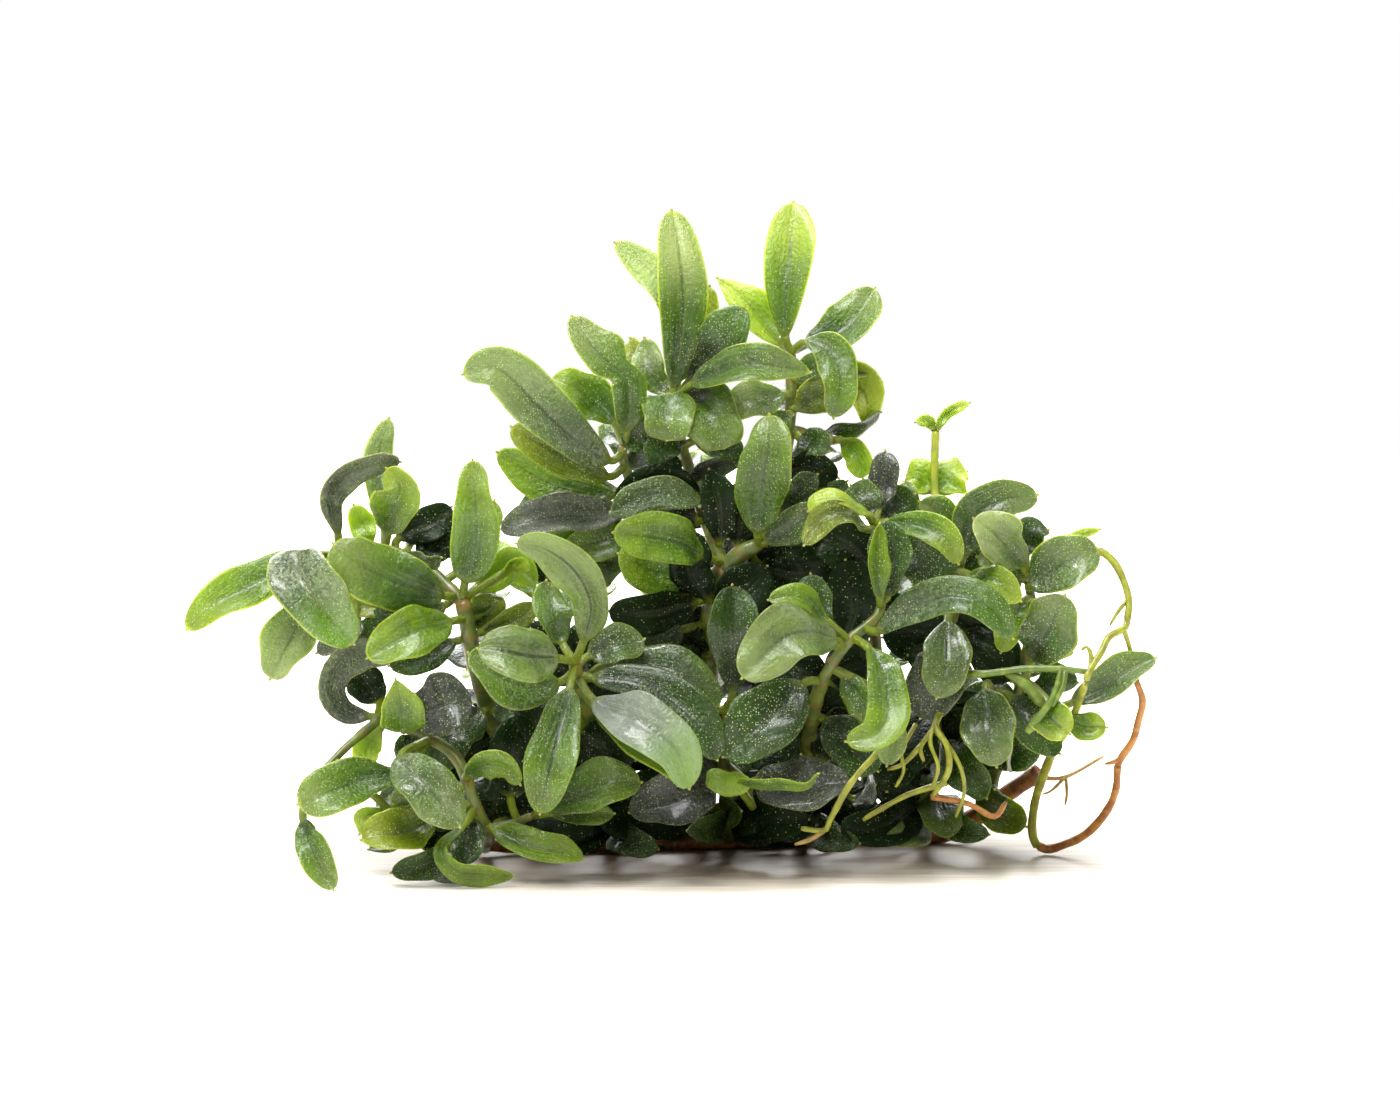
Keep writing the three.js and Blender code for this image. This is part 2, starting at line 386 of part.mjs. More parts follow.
    small: [
      ["purple", 3.9, [50, 36, 20], [[-30.2, 14, -17.2], [-32.6, 14.2, -18], [-34, 16.2, -18.6],
        [-33.3, 18.6, -18.6],
        [-30.5, 19.9, -18], [-27.4, 19.3, -17.2]]],
      ["black", 3.9, 0, [[-28.8, 15.4, -15.8], [-30, 17, -15], [-31.4, 18.6, -14.6]]],
      ["lime", 2.4, 0, [[-29.8, 12.2, -16.4], [-30.7, 10.9, -16], [-30.9, 9.5, -15.8]]],
      ["olive", 5.2, 22, [[-23.4, 3.9, -20.8], [-26.8, 2.5, -23.4], [-30.4, 1.8, -24.2]]],
      ["lime", 2.1, 10, [[-27.4, 4.2, -20.4], [-30.2, 4.1, -21], [-31, 2.6, -21]]],
      ["green", 3.9, -20, [[-22.6, 6.4, -20.4], [-25.2, 5.6, -21.8], [-27.6, 6, -22]]],
      ["bright", 2.6, [20, 35, 30], [[-20.4, 3.2, -22], [-22.2, 0.9, -24], [-21, -1.2, -24.8],
        [-18.4, -1.8, -24.4], [-15.4, -2, -23]]],
      ["dark", 3.4, 0, [[-19.4, 3.8, -19.6], [-20, 1.4, -21], [-20.3, -0.6, -21.2]]],
      ["dark", 3, 30, [[-21.8, 1, -19.4], [-22.6, -1.2, -21.2], [-19.8, -2, -22]]],
      ["bright", 3.6, -28, [[-17.4, 2.8, -18.2], [-14, 1.4, -20.2], [-8.6, -0.1, -20.8]]],
      ["bright", 3.2, 26, [[-20, 8.2, -21.6], [-18.2, 9.3, -23.4], [-16.2, 8.8, -23.8],
        [-14.8, 7.4, -23.6]]],
      ["green", 5.5, -22, [[-12.4, 5, -18.6], [-7.4, 7.1, -20], [-2.9, 7.6, -20.2]]],
      ["green", 2.6, -15, [[-11.6, 4.4, -17.4], [-8, 4.3, -18], [-5.6, 4.4, -18]]],
      ["black", 5.8, 15, [[-15.8, 6, -16], [-15.4, 10, -16.4], [-14.4, 14, -16.2]]],
      ["black", 6.2, -10, [[-16.6, 3.6, -13.6], [-12, 4.2, -14.4], [-7.4, 3.4, -14.4]]],
      ["dark", 4.9, 25, [[-20, 4, -14], [-23.6, 4.6, -15.6], [-27, 3.4, -16]]],
    ],
    rosette: [[0.2, 185, 12, 12, 4.4, "dark"], [0.32, 160, 25, 13, 4.4, "green"]],
  },
  {
    name: "back_left_shoot",
    tone: "olive",
    parent: "rhizome",
    stems: [{ points: [[-10, 0.95, 1.3], [-12, 8, 8.6], [-13, 17, 12.6],
      [-12.4, 26, 12.4]], thick: [1.7, 1] }],
    rosette: [[0.25, 180, 8, 14, 4.8, "dark"], [0.32, 90, -8, 13, 4.6, "green"],
      [0.45, 130, 15, 14, 4.8, "green"],
      [0.55, 60, 12, 14, 4.6, "dark"], [0.66, 175, 28, 14, 4.6, "green"],
        [0.76, 100, 32, 14, 4.4, "bright"],
      [0.86, 40, 45, 13, 4.2, "green"], [0.94, 150, 52, 14, 4.2, "bright"], [0.98, 270, 62, 12, 4, "dark"]],
  },
  {
    name: "back_centre_shoot",
    tone: "olive",
    parent: "rhizome",
    stems: [{ points: [[3, 1.3, 4.6], [3, 9, 11.4], [3.4, 19, 13.6], [4, 30, 10],
      [4.4, 36, 6.4]], thick: [1.8, 1] }],
    rosette: [[0.22, 110, -12, 12, 4.8, "dark"], [0.28, 40, 2, 13, 4.6, "green"],
      [0.4, 150, 12, 13, 4.8, "green"],
      [0.48, 85, 10, 14, 4.8, "dark"], [0.58, 25, 25, 13, 4.6, "bright"], [0.66, 120, 30, 14, 4.6, "green"],
      [0.76, 70, 38, 14, 4.4, "green"], [0.84, 165, 40, 13, 4.2, "dark"],
        [0.92, 100, 55, 14, 4.2, "bright"],
      [0.97, 20, 52, 12, 4, "green"]],
  },
  {
    name: "back_right_shoot",
    tone: "olive",
    parent: "rhizome",
    stems: [{ points: [[19, 1.7, 8.2], [20, 8, 13.4], [21, 17, 14.4], [20, 26.6, 11.4]], thick: [1.7, 1] }],
    rosette: [[0.24, 95, -8, 12, 4.8, "green"], [0.34, 10, 5, 13, 4.6, "dark"],
      [0.46, 140, 14, 13, 4.6, "green"],
      [0.56, 70, 18, 14, 4.8, "bright"], [0.68, 0, 28, 13, 4.4, "green"], [0.78, 110, 38, 14, 4.4, "green"],
      [0.87, 50, 48, 14, 4.2, "dark"], [0.96, 150, 58, 12, 4, "bright"]],
  },
];

// A root is drawn as stems, the first with its side roots fused to it.
const roots = [
  { name: "runner_root", tone: "root", stems: [
    { points: [[28.2, 18.4, -15.6], [31, 18.2, -17], [35, 18.7, -17.4], [38.6, 18.7, -17.6],
      [40.2, 18.5, -17.6]], thick: [0.9, 0.8] },
  ] },
  { name: "upper_loop_root", tone: "root", stems: [
    { points: [[37.4, 27.2, -10.8], [40, 29.6, -11.8], [42.5, 30.4, -12.2], [44.1, 29.3, -12.6],
      [45.1, 27.4, -13.2],
      [45.6, 25.4, -13.8], [45.5, 23.8, -14.2]], thick: [0.8, 0.8] },
    { points: [[45.4, 25.5, -13.9], [44.4, 24.2, -14], [43.7, 23, -14]], thick: [0.4, 0.3] },
  ] },
  { name: "upper_loop_root_end", tone: "root", stems: [
    { points: [[45.2, 22.9, -14.6], [43.6, 21.9, -15.4], [42.8, 20.4, -16.2], [41.9, 19, -17.2],
      [41.2, 17.6, -18.2]], thick: [0.85, 0.75] },
    { points: [[44.8, 22.6, -14.8], [45.4, 21, -15], [45.8, 19.9, -15.2]], thick: [0.4, 0.3] },
  ] },
  { name: "lower_loop_root_top", tone: "rust", stems: [
    { points: [[46.4, 16.9, -12.4], [47, 15.5, -11.8], [46.6, 13.5, -11], [46.1, 11.6, -10],
      [44.8, 9.6, -8.8]], thick: [0.9, 0.9] },
  ] },
  { name: "lower_loop_root_floor", tone: "rust", stems: [
    { points: [[44.6, 8.7, -8.2], [44.4, 6.4, -6.6], [43.4, 4.2, -4.8], [41.5, 2.1, -2.6],
      [39, 0.9, -0.8], [37.5, 0.5, 0]], thick: [0.9, 1.1] },
  ] },
  { name: "lower_loop_root_rise", tone: "root", stems: [
    { points: [[36.5, 1.2, -0.2], [36.2, 3.4, -1.4], [36.6, 6, -3.4], [37.6, 9, -6.4], [38.4, 11, -9],
      [39.4, 12.4, -11.6]], thick: [1.1, 1] },
  ] },
  { name: "hanging_root", tone: "root", stems: [
    { points: [[20.8, 10.6, -16.2], [18, 7.5, -20.2], [16, 4, -19], [15.3, 2.7, -18],
      [13, 2.9, -18]], thick: [0.9, 0.7] },
    { points: [[15.3, 2.7, -18], [14, 1.8, -17.6], [12.4, 1.3, -17.2]], thick: [0.7, 0.5] },
  ] },
  { name: "root_tangle", tone: "root", stems: [
    { points: [[27.2, 15, -12.6], [26.4, 13, -16], [27.5, 11, -17], [27.6, 8.5, -17],
      [26, 6, -16]], thick: [1, 0.7] },
    { points: [[26.4, 13, -16], [24.9, 11, -16.6], [25.2, 9.5, -16.6]], thick: [0.8, 0.7] },
    { points: [[25, 11.2, -16.6], [23.2, 9.3, -16.4], [21.6, 8.7, -16]], thick: [0.7, 0.6] },
    { points: [[27.4, 7.4, -16.8], [23.6, 6.2, -15.6], [20.5, 4.5, -14.4],
      [19.2, 3.7, -13.8]], thick: [0.9, 0.7] },
    { points: [[26, 6, -16], [29.6, 5.3, -14.4], [32.2, 4, -12.6], [33.4, 5.4, -11.6]], thick: [0.8, 0.8] },
  ] },
];

// ---- curves and skins ----

const at = ([across, up, back]) => new THREE.Vector3(across, back, up);
const course = (points) => new THREE.CatmullRomCurve3(points, false, "catmullrom", 0.5);
const lean = THREE.MathUtils.degToRad(leanDeg);
const toFront = new THREE.Vector3(0, -1, 0);

// Raises a point of the leaning frame until it is at least this high over the ground.
function lifted(point, height) {
  const lowest = (height + point.y * Math.sin(lean)) / Math.cos(lean);
  return point.setZ(Math.max(point.z, lowest));
}

// Reads a list of values spread evenly over 0 to 1.
function spread(values, share) {
  const list = [values].flat();
  const place = share * (list.length - 1);
  const before = Math.min(Math.floor(place), Math.max(list.length - 2, 0));
  return THREE.MathUtils.lerp(list[before], list[before + 1] ?? list[before], place - before);
}

// The direction to a blade's right edge: square to the rib, carried along it from its middle without
// twisting, and then turned.
function sideAt(curve, share, turn) {
  const side = curve.getTangentAt(0.5).cross(toFront).normalize();
  for (let i = 1; i <= transportSteps; i++) {
    const along = curve.getTangentAt(0.5 + ((share - 0.5) * i) / transportSteps);
    side.addScaledVector(along, -side.dot(along)).normalize();
  }
  const turned = THREE.MathUtils.degToRad(spread(turn, share));
  return side.applyAxisAngle(curve.getTangentAt(share), turned);
}

// One closed surface over rings of points. The last ring is capped, or drawn to a point.
function skin(rings, point) {
  const count = rings[0].length;
  const vertices = [...rings.flat(), ...(point ? [point] : [])];
  const faces = [];
  for (let ring = 0; ring + 1 < rings.length; ring++) {
    for (let i = 0; i < count; i++) {
      const [a, b] = [ring * count + i, ring * count + ((i + 1) % count)];
      faces.push(a, b + count, b, a, a + count, b + count);
    }
  }
  const last = (rings.length - 1) * count;
  for (let i = 1; i + 1 < count; i++) faces.push(0, i, i + 1);
  for (let i = 0; point && i < count; i++) {
    faces.push(last + ((i + 1) % count), last + i, vertices.length - 1);
  }
  for (let i = 1; !point && i + 1 < count; i++) faces.push(last, last + i + 1, last + i);
  const geometry = new THREE.BufferGeometry().setFromPoints(vertices);
  return geometry.setIndex(faces);
}

const solidOf = (geometry) =>
  new wasm.Manifold(new wasm.Mesh({
    numProp: 3,
    vertProperties: geometry.attributes.position.array,
    triVerts: new Uint32Array(geometry.index.array),
  }));

function geometryOf(solid) {
  const mesh = solid.getMesh();
  const geometry = new THREE.BufferGeometry();
  geometry.setAttribute("position", new THREE.BufferAttribute(mesh.vertProperties, 3));
  return geometry.setIndex(new THREE.BufferAttribute(mesh.triVerts, 1));
}

function joined(geometries) {
  const whole = geometries.map(solidOf).reduce((all, one) => all.add(one));
  return geometryOf(whole.simplify(plainness));
}

// ---- stems ----

const stemCurve = (stem) => course(stem.points.map((point) => lifted(at(point), ribLift)));

// The middles of a stem's rings, a step apart.
function ringCentres(stem, step) {
  const curve = stemCurve(stem);
  const count = Math.max(2, Math.round(curve.getLength() / step));
  return Array.from({ length: count + 1 }, (_, i) => curve.getPointAt(i / count));
}

// The nearest place in a shoot's stems: where it is, and how thick the stem is there.
function nearestOn(shoot, point) {
  let best = { distance: Infinity };
  for (const stem of shoot.stems) {
    const centres = ringCentres(stem, stemStep);
    for (let i = 0; i + 1 < centres.length; i++) {
      const stretch = new THREE.Line3(centres[i], centres[i + 1]);
      const share = (i + stretch.closestPointToPointParameter(point, true)) / (centres.length - 1);
      const place = stretch.closestPointToPoint(point, true, new THREE.Vector3());
      const distance = place.distanceTo(point);
      if (distance < best.distance) best = { distance, place, radius: spread(stem.thick, share) / 2 };
    }
  }
  return best;
}

// How far along a curve its surface comes clear of the shoot that it grows from.
function clearOf(shoot, curve, ownRadius) {
  const steps = 80;
  for (let i = 0; i < steps; i++) {
    const { distance, radius } = nearestOn(shoot, curve.getPointAt(i / steps));
    if (distance > radius + ownRadius + clearGap) return i / steps;
  }
  throw new Error("a curve never comes clear of " + shoot.name);
}

function stemGeometry(stem, sides, step, parent) {
  const curve = stemCurve(stem);
  const from = parent ? clearOf(parent, curve, stem.thick[0] / 2) : 0;
  const count = ringCentres(stem, step).length - 1;
  const rings = [];
  for (let i = Math.floor(from * count); i <= count; i++) {
    const share = Math.max(from, i / count);
    const centre = curve.getPointAt(share);
    const across = sideAt(curve, share, 0);
    const out = new THREE.Vector3().crossVectors(across, curve.getTangentAt(share));
    const radius = spread(stem.thick, share) / 2;
    rings.push(Array.from({ length: sides }, (_, k) => {
      const angle = (2 * Math.PI * (k + 0.5)) / sides;
      const vertex = centre.clone().addScaledVector(across, radius * Math.cos(angle));
      return lifted(vertex.addScaledVector(out, radius * Math.sin(angle)), 0);
    }));
  }
  return skin(rings);
}

// ---- leaves ----

// The blade's half width as a share of its widest, from foot (0) to tip (1).
function outline(share, widest, blunt) {
  return Math.sin(Math.PI * share ** (Math.log(0.5) / Math.log(widest))) ** blunt;
}

function leafGeometry(shoot, stations, isOwn, [, width, turn, rib, change]) {
  const look = { ...blade, ...change };
  const ribPoints = rib.map((point) => lifted(at(point), ribLift));
  const curve = course([nearestOn(shoot, ribPoints[0]).place, ...ribPoints]);
  const perPoint = 20;
  const lengths = curve.getLengths(perPoint * ribPoints.length);
  const bladeFrom = lengths[perPoint] / lengths.at(-1);
  const stalkFrom = isOwn ? Math.min(clearOf(shoot, curve, stalk.halfWidth), bladeFrom * 0.9) : 0;
  const ring = (share, halfWidth, halfThick) => {
    const centre = curve.getPointAt(share);
    const side = sideAt(curve, share, turn);
    const face = new THREE.Vector3().crossVectors(side, curve.getTangentAt(share));
    const folded = THREE.MathUtils.degToRad(halfWidth > stalk.halfWidth ? look.fold : 0);
    const edge = (sign) => lifted(centre.clone()
      .addScaledVector(side, sign * halfWidth * Math.cos(folded))
      .addScaledVector(face, halfWidth * Math.sin(folded)), 0);
    const rib = (sign) => lifted(centre.clone().addScaledVector(face, sign * halfThick), 0);
    return isOwn ? [edge(1), rib(1), edge(-1), rib(-1)] : [edge(1), edge(-1), rib(-2)]; // flat above
  };
  const rings = [ring(stalkFrom, stalk.halfWidth, stalk.halfThick)];
  for (const station of stations) {
    const halfWidth = Math.max((width / 2) * outline(station, look.widest, look.blunt), stalk.halfWidth);
    const halfThick = THREE.MathUtils.lerp(look.halfThick, look.tipHalfThick, station);
    rings.push(ring(bladeFrom + (1 - bladeFrom) * station, halfWidth, halfThick));
  }
  return skin(rings, curve.getPointAt(1));
}

// A leaf of a rosette leaves the stem on its heading, rises, and droops as it goes.
function rosetteLeaf(shoot, [place, heading, rise, length, width, tone]) {
  const from = stemCurve(shoot.stems[0]).getPointAt(place);
  const [turn, climb] = [heading, rise].map(THREE.MathUtils.degToRad);
  const ribPoint = (share) => [
    from.x + length * share * Math.cos(climb) * Math.cos(turn),
    from.z + length * (share * Math.sin(climb) - 0.3 * share ** 2),
    from.y + length * share * Math.cos(climb) * Math.sin(turn),
  ];
  const faceUp = 90 * Math.sign(Math.cos(turn)) * -Math.abs(Math.cos(turn)) * 0.6;
  return [tone, width, faceUp, [ribPoint(0.16), ribPoint(0.58), ribPoint(1)]];
}

// ---- the scene graph ----

function meshOf(name, tone, geometry) {
  geometry.computeVertexNormals();
  const material = new THREE.MeshStandardMaterial({ color: tones[tone], roughness: 0.38, metalness: 0 });
  const mesh = new THREE.Mesh(geometry, material);
  mesh.name = name;
  return mesh;
}

const byName = new Map([...shoots, ...roots].map((piece) => [piece.name, piece]));

function shootMeshes(shoot) {
  const parent = byName.get(shoot.parent);
  const own = (shoot.leaves ?? []).map(([name, ...leaf]) =>
    meshOf(name, leaf[0], leafGeometry(shoot, ownStations, true, leaf)));
  const small = [...(shoot.small ?? []), ...(shoot.rosette ?? []).map((leaf) => rosetteLeaf(shoot, leaf))];
  const stems = shoot.stems.map((stem, i) =>
    stemGeometry(stem, stem.sides ?? stemSides, stemStep, i === 0 ? parent : undefined));
  const fused = joined([...stems, ...small.map((leaf) => leafGeometry(shoot, smallStations, false, leaf))]);
  return [meshOf(shoot.name, shoot.tone, fused), ...own];
}

function rootMesh(root) {
  const parts = root.stems.map((stem) => stemGeometry(stem, rootSides, rootStep));
  return meshOf(root.name, root.tone, joined(parts));
}

const plant = new THREE.Group();
plant.add(...shoots.flatMap(shootMeshes), ...roots.map(rootMesh));
plant.rotation.x = -lean;

const clump = new THREE.Group();
clump.add(plant);
clump.position.set(-middle.across, -middle.back, 0);

export default clump;
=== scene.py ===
import math
import bpy
import numpy as np
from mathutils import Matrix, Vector


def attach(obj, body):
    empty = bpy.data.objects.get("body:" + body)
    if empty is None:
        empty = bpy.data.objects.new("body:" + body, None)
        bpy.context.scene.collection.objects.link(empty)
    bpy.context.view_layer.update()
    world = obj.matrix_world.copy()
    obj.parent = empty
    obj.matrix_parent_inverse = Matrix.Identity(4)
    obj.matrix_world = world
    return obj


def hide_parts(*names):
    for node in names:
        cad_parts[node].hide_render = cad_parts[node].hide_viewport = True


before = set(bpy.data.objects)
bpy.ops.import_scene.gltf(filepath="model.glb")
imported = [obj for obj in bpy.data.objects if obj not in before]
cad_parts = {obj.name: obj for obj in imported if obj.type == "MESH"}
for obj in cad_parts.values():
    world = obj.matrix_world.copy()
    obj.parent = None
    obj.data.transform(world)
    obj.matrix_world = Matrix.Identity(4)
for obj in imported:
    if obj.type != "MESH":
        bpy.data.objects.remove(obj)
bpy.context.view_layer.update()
print("frame loaded,", len(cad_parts), "solids")

# Points are [across, up, back] in millimetres, in a frame that leans back with the clump.
clump = {
    "leanDegrees": 7,
    "middleAcross": -0.03,  # the drawn middle, moved over the origin
    "middleBack": 0.75,
    "metresPerMm": 0.001,
    "ribLift": 0.45,  # least height of a rib or a stem's middle over the ground
    "skinLift": 0.03,  # and of any surface
}
lean = math.radians(clump["leanDegrees"])
luck = np.random.default_rng(21)

# camera and light

view = {
    "aimAcross": 3.0,
    "aimUp": 29.5,
    "distance": 2000.0,  # mm
    "frameWidth": 140.0,  # mm seen across at the clump's middle
    "sensor": 36.0,
    "farthest": 50.0,  # metres
}
studio = {
    "seenSky": 1.0,  # the white behind the clump
    "sky": ((0.45, 0.10), (0.62, 0.22), (1.0, 0.36)),  # height, 0 below to 1 overhead, and brightness
    "lamps": [  # name, place in metres, size, watts
        ("backSoftbox", (-0.10, 0.42, 0.36), 0.40, 4.6),
        ("topSoftbox", (-0.05, -0.14, 0.56), 0.22, 3.3),
        ("sparkLamp", (-0.20, -0.16, 0.46), 0.05, 0.7),
        ("sheenSoftbox", (-0.14, -0.42, 0.42), 0.14, 0.8),
        ("leftSoftbox", (-0.55, -0.05, 0.30), 0.30, 0.8),
        ("rightSoftbox", (0.55, 0.10, 0.30), 0.30, 0.9),
        ("frontFill", (-0.15, -0.70, 0.25), 0.40, 0.4),
    ],
    "aim": (0.0, 0.0, 0.03),
}
floorFinish = {
    "radius": 0.34,
    "sides": 96,
    # painted shade: beige, far darker than the white floor, seen mostly in the patch under the clump where
    # the glow fades
    "colour": (0.66, 0.60, 0.50),
    "roughness": 0.38,
    "shadowMiddle": -0.001,
    "shadowAcross": 0.058,  # half size of the painted shadow patch under the clump, past which the floor glows white
    "shadowDeep": 0.034,
    "glow": 1.4, "glowSpan": (0.62, 1.4),
    "streak": {"scale": 60.0, "detail": 3, "span": (0.42, 0.60)},
    "streakStretch": 14.0,
    "streakShare": 0.55, "streakTint": (0.62, 0.58, 0.50),
    "shadeShare": 0.92, "shadeTint": (0.30, 0.22, 0.13),  # painted shadow: the patch under the clump is darkened
    "shadeSpan": (0.90, 0.15),
}


def leanToWorld(points):  # columns across, back, up in mm, to metres
    points = np.atleast_2d(np.asarray(points, float))
    across, back, up = points[:, 0], points[:, 1], points[:, 2]
    placed = np.stack([
        across - clump["middleAcross"],
        up * math.sin(lean) + back * math.cos(lean) - clump["middleBack"],
        up * math.cos(lean) - back * math.sin(lean),
    ], axis=1)
    return placed * clump["metresPerMm"]


def faceTowards(thing, target):
    direction = Vector(target) - thing.location
    thing.rotation_euler = direction.to_track_quat("-Z", "Y").to_euler()


def addCamera():
    camera = bpy.data.objects.new("camera", bpy.data.cameras.new("camera"))
    bpy.context.scene.collection.objects.link(camera)
    camera.location = leanToWorld([view["aimAcross"], -view["distance"], view["aimUp"]])[0]
    camera.data.sensor_width = view["sensor"]
    camera.data.lens = view["sensor"] * view["distance"] / view["frameWidth"]
    camera.data.clip_end = view["farthest"]
    faceTowards(camera, leanToWorld([view["aimAcross"], 0, view["aimUp"]])[0])
    bpy.context.scene.camera = camera


def addStudio():
    for name, place, size, watts in studio["lamps"]:
        lamp = bpy.data.lights.new(name, "AREA")
        lamp.size = size
        lamp.energy = watts
        holder = bpy.data.objects.new(name, lamp)
        bpy.context.scene.collection.objects.link(holder)
        holder.location = place
        faceTowards(holder, studio["aim"])


# node helpers

def addNode(tree, kind, inputs=None, **settings):
    made = tree.nodes.new("ShaderNode" + kind)
    for key, value in settings.items():
        setattr(made, key, value)
    for key, value in (inputs or {}).items():
        if isinstance(value, bpy.types.NodeSocket):
            tree.links.new(value, made.inputs[key])
        else:
            made.inputs[key].default_value = value
    return made


def calc(tree, operation, first, second=0.0, clamp=False):
    return addNode(tree, "Math", {0: first, 1: second}, operation=operation, use_clamp=clamp).outputs[0]


def mixed(tree, share, first, second):  # the node's sockets 6 and 7 are its colours
    return addNode(tree, "Mix", {0: share, 6: first, 7: second}, data_type="RGBA").outputs[2]


def attribute(tree, name, output="Vector"):
    return addNode(tree, "Attribute", attribute_name=name).outputs[output]


def split(tree, vector):
    return addNode(tree, "SeparateXYZ", {0: vector}).outputs


def eased(tree, value, low, high):  # 0 at low, 1 at high, smooth between
    return addNode(tree, "MapRange", {"Value": value, "From Min": low, "From Max": high},
                   interpolation_type="SMOOTHSTEP").outputs["Result"]


def ridge(tree, value, low, top, high):  # 0 outside low and high, 1 at top
    return calc(tree, "MULTIPLY", eased(tree, value, low, top), eased(tree, value, high, top))


noiseRoughness = 0.55  # of a cloud that names none


def cloud(tree, place, layer):
    return addNode(tree, "TexNoise", {"Vector": place, "Scale": layer["scale"], "Detail": layer["detail"],
                                      "Roughness": layer.get("roughness", noiseRoughness)}).outputs["Fac"]


def patches(tree, place, layer):  # the cloud, from 0 to 1 over the layer's span
    return eased(tree, cloud(tree, place, layer), *layer["span"])


def opaque(colour):
    return (*colour, 1)


def newMaterial(name):
    material = bpy.data.materials.new(name)
    material.use_nodes = True
    tree = material.node_tree
    tree.nodes.clear()
    output = addNode(tree, "OutputMaterial")
    shader = addNode(tree, "BsdfPrincipled")
    tree.links.new(shader.outputs[0], output.inputs["Surface"])
    return material, tree, shader


def setWorld():  # white where the camera sees it, and a soft gradient for the light
    world = bpy.data.worlds.new("whiteStudio")
    bpy.context.scene.world = world
    world.use_nodes = True
    tree = world.node_tree
    tree.nodes.clear()
    output = addNode(tree, "OutputWorld")
    direction = addNode(tree, "TexCoord").outputs["Generated"]
    height = split(tree, direction)["Z"]
    ramp = addNode(tree, "ValToRGB", {"Fac": calc(tree, "MULTIPLY", calc(tree, "ADD", height, 1.0), 0.5)})
    (lowAt, low), (sideAt, side), (topAt, top) = studio["sky"]
    stops = ramp.color_ramp.elements
    stops[0].position, stops[0].color = lowAt, [low] * 3 + [1]
    stops[1].position, stops[1].color = sideAt, [side] * 3 + [1]
    stops.new(topAt).color = [top] * 3 + [1]
    lightSky = addNode(tree, "Background", {"Color": ramp.outputs["Color"]})
    seenSky = addNode(tree, "Background", {"Color": (1, 1, 1, 1), "Strength": studio["seenSky"]})
    seen = addNode(tree, "LightPath").outputs["Is Camera Ray"]
    both = addNode(tree, "MixShader", {0: seen, 1: lightSky.outputs[0], 2: seenSky.outputs[0]})
    tree.links.new(both.outputs[0], output.inputs["Surface"])


def addFloor():
    material, tree, shader = newMaterial("paleFloor")
    across, deep, _ = split(tree, addNode(tree, "TexCoord").outputs["Object"])
    fromMiddle = calc(tree, "SUBTRACT", across, floorFinish["shadowMiddle"])
    outAcross = calc(tree, "DIVIDE", fromMiddle, floorFinish["shadowAcross"])
    outDeep = calc(tree, "DIVIDE", deep, floorFinish["shadowDeep"])
    away = calc(tree, "SQRT", calc(tree, "ADD", calc(tree, "MULTIPLY", outAcross, outAcross),
                                   calc(tree, "MULTIPLY", outDeep, outDeep)))
    # painted light: the floor glows white, more the farther it lies from the clump, and not in the shadow
    # patch under it
    glowing = eased(tree, away, *floorFinish["glowSpan"])
    shader.inputs["Emission Color"].default_value = (1, 1, 1, 1)
    tree.links.new(calc(tree, "MULTIPLY", glowing, floorFinish["glow"]), shader.inputs["Emission Strength"])

    def tinted(name):
        return opaque(part * share for part, share in zip(floorFinish["colour"], floorFinish[name]))

    stretched = calc(tree, "MULTIPLY", deep, floorFinish["streakStretch"])
    streak = patches(tree, addNode(tree, "CombineXYZ", {0: across, 1: stretched}).outputs[0],
                     floorFinish["streak"])
    colour = mixed(tree, calc(tree, "MULTIPLY", streak, floorFinish["streakShare"]),
                   opaque(floorFinish["colour"]), tinted("streakTint"))
    # painted shadow: the floor's beige is darkened towards the middle of the patch under the clump
    shade = eased(tree, away, *floorFinish["shadeSpan"])
    colour = mixed(tree, calc(tree, "MULTIPLY", shade, floorFinish["shadeShare"]), colour,
                   tinted("shadeTint"))
    tree.links.new(colour, shader.inputs["Base Color"])
    shader.inputs["Roughness"].default_value = floorFinish["roughness"]
    count = floorFinish["sides"]
    corners = [(floorFinish["radius"] * math.cos(2 * math.pi * i / count),
                floorFinish["radius"] * math.sin(2 * math.pi * i / count), 0) for i in range(count)]
    mesh = bpy.data.meshes.new("floor")
    mesh.from_pydata(corners, [], [tuple(range(count))])
    mesh.materials.append(material)
    floor = bpy.data.objects.new("floor", mesh)
    bpy.context.scene.collection.objects.link(floor)


addCamera()
addStudio()
setWorld()
addFloor()
bpy.context.scene.view_settings.view_transform = "Standard"
print("camera, lamps and floor placed")

# materials, one for each tone

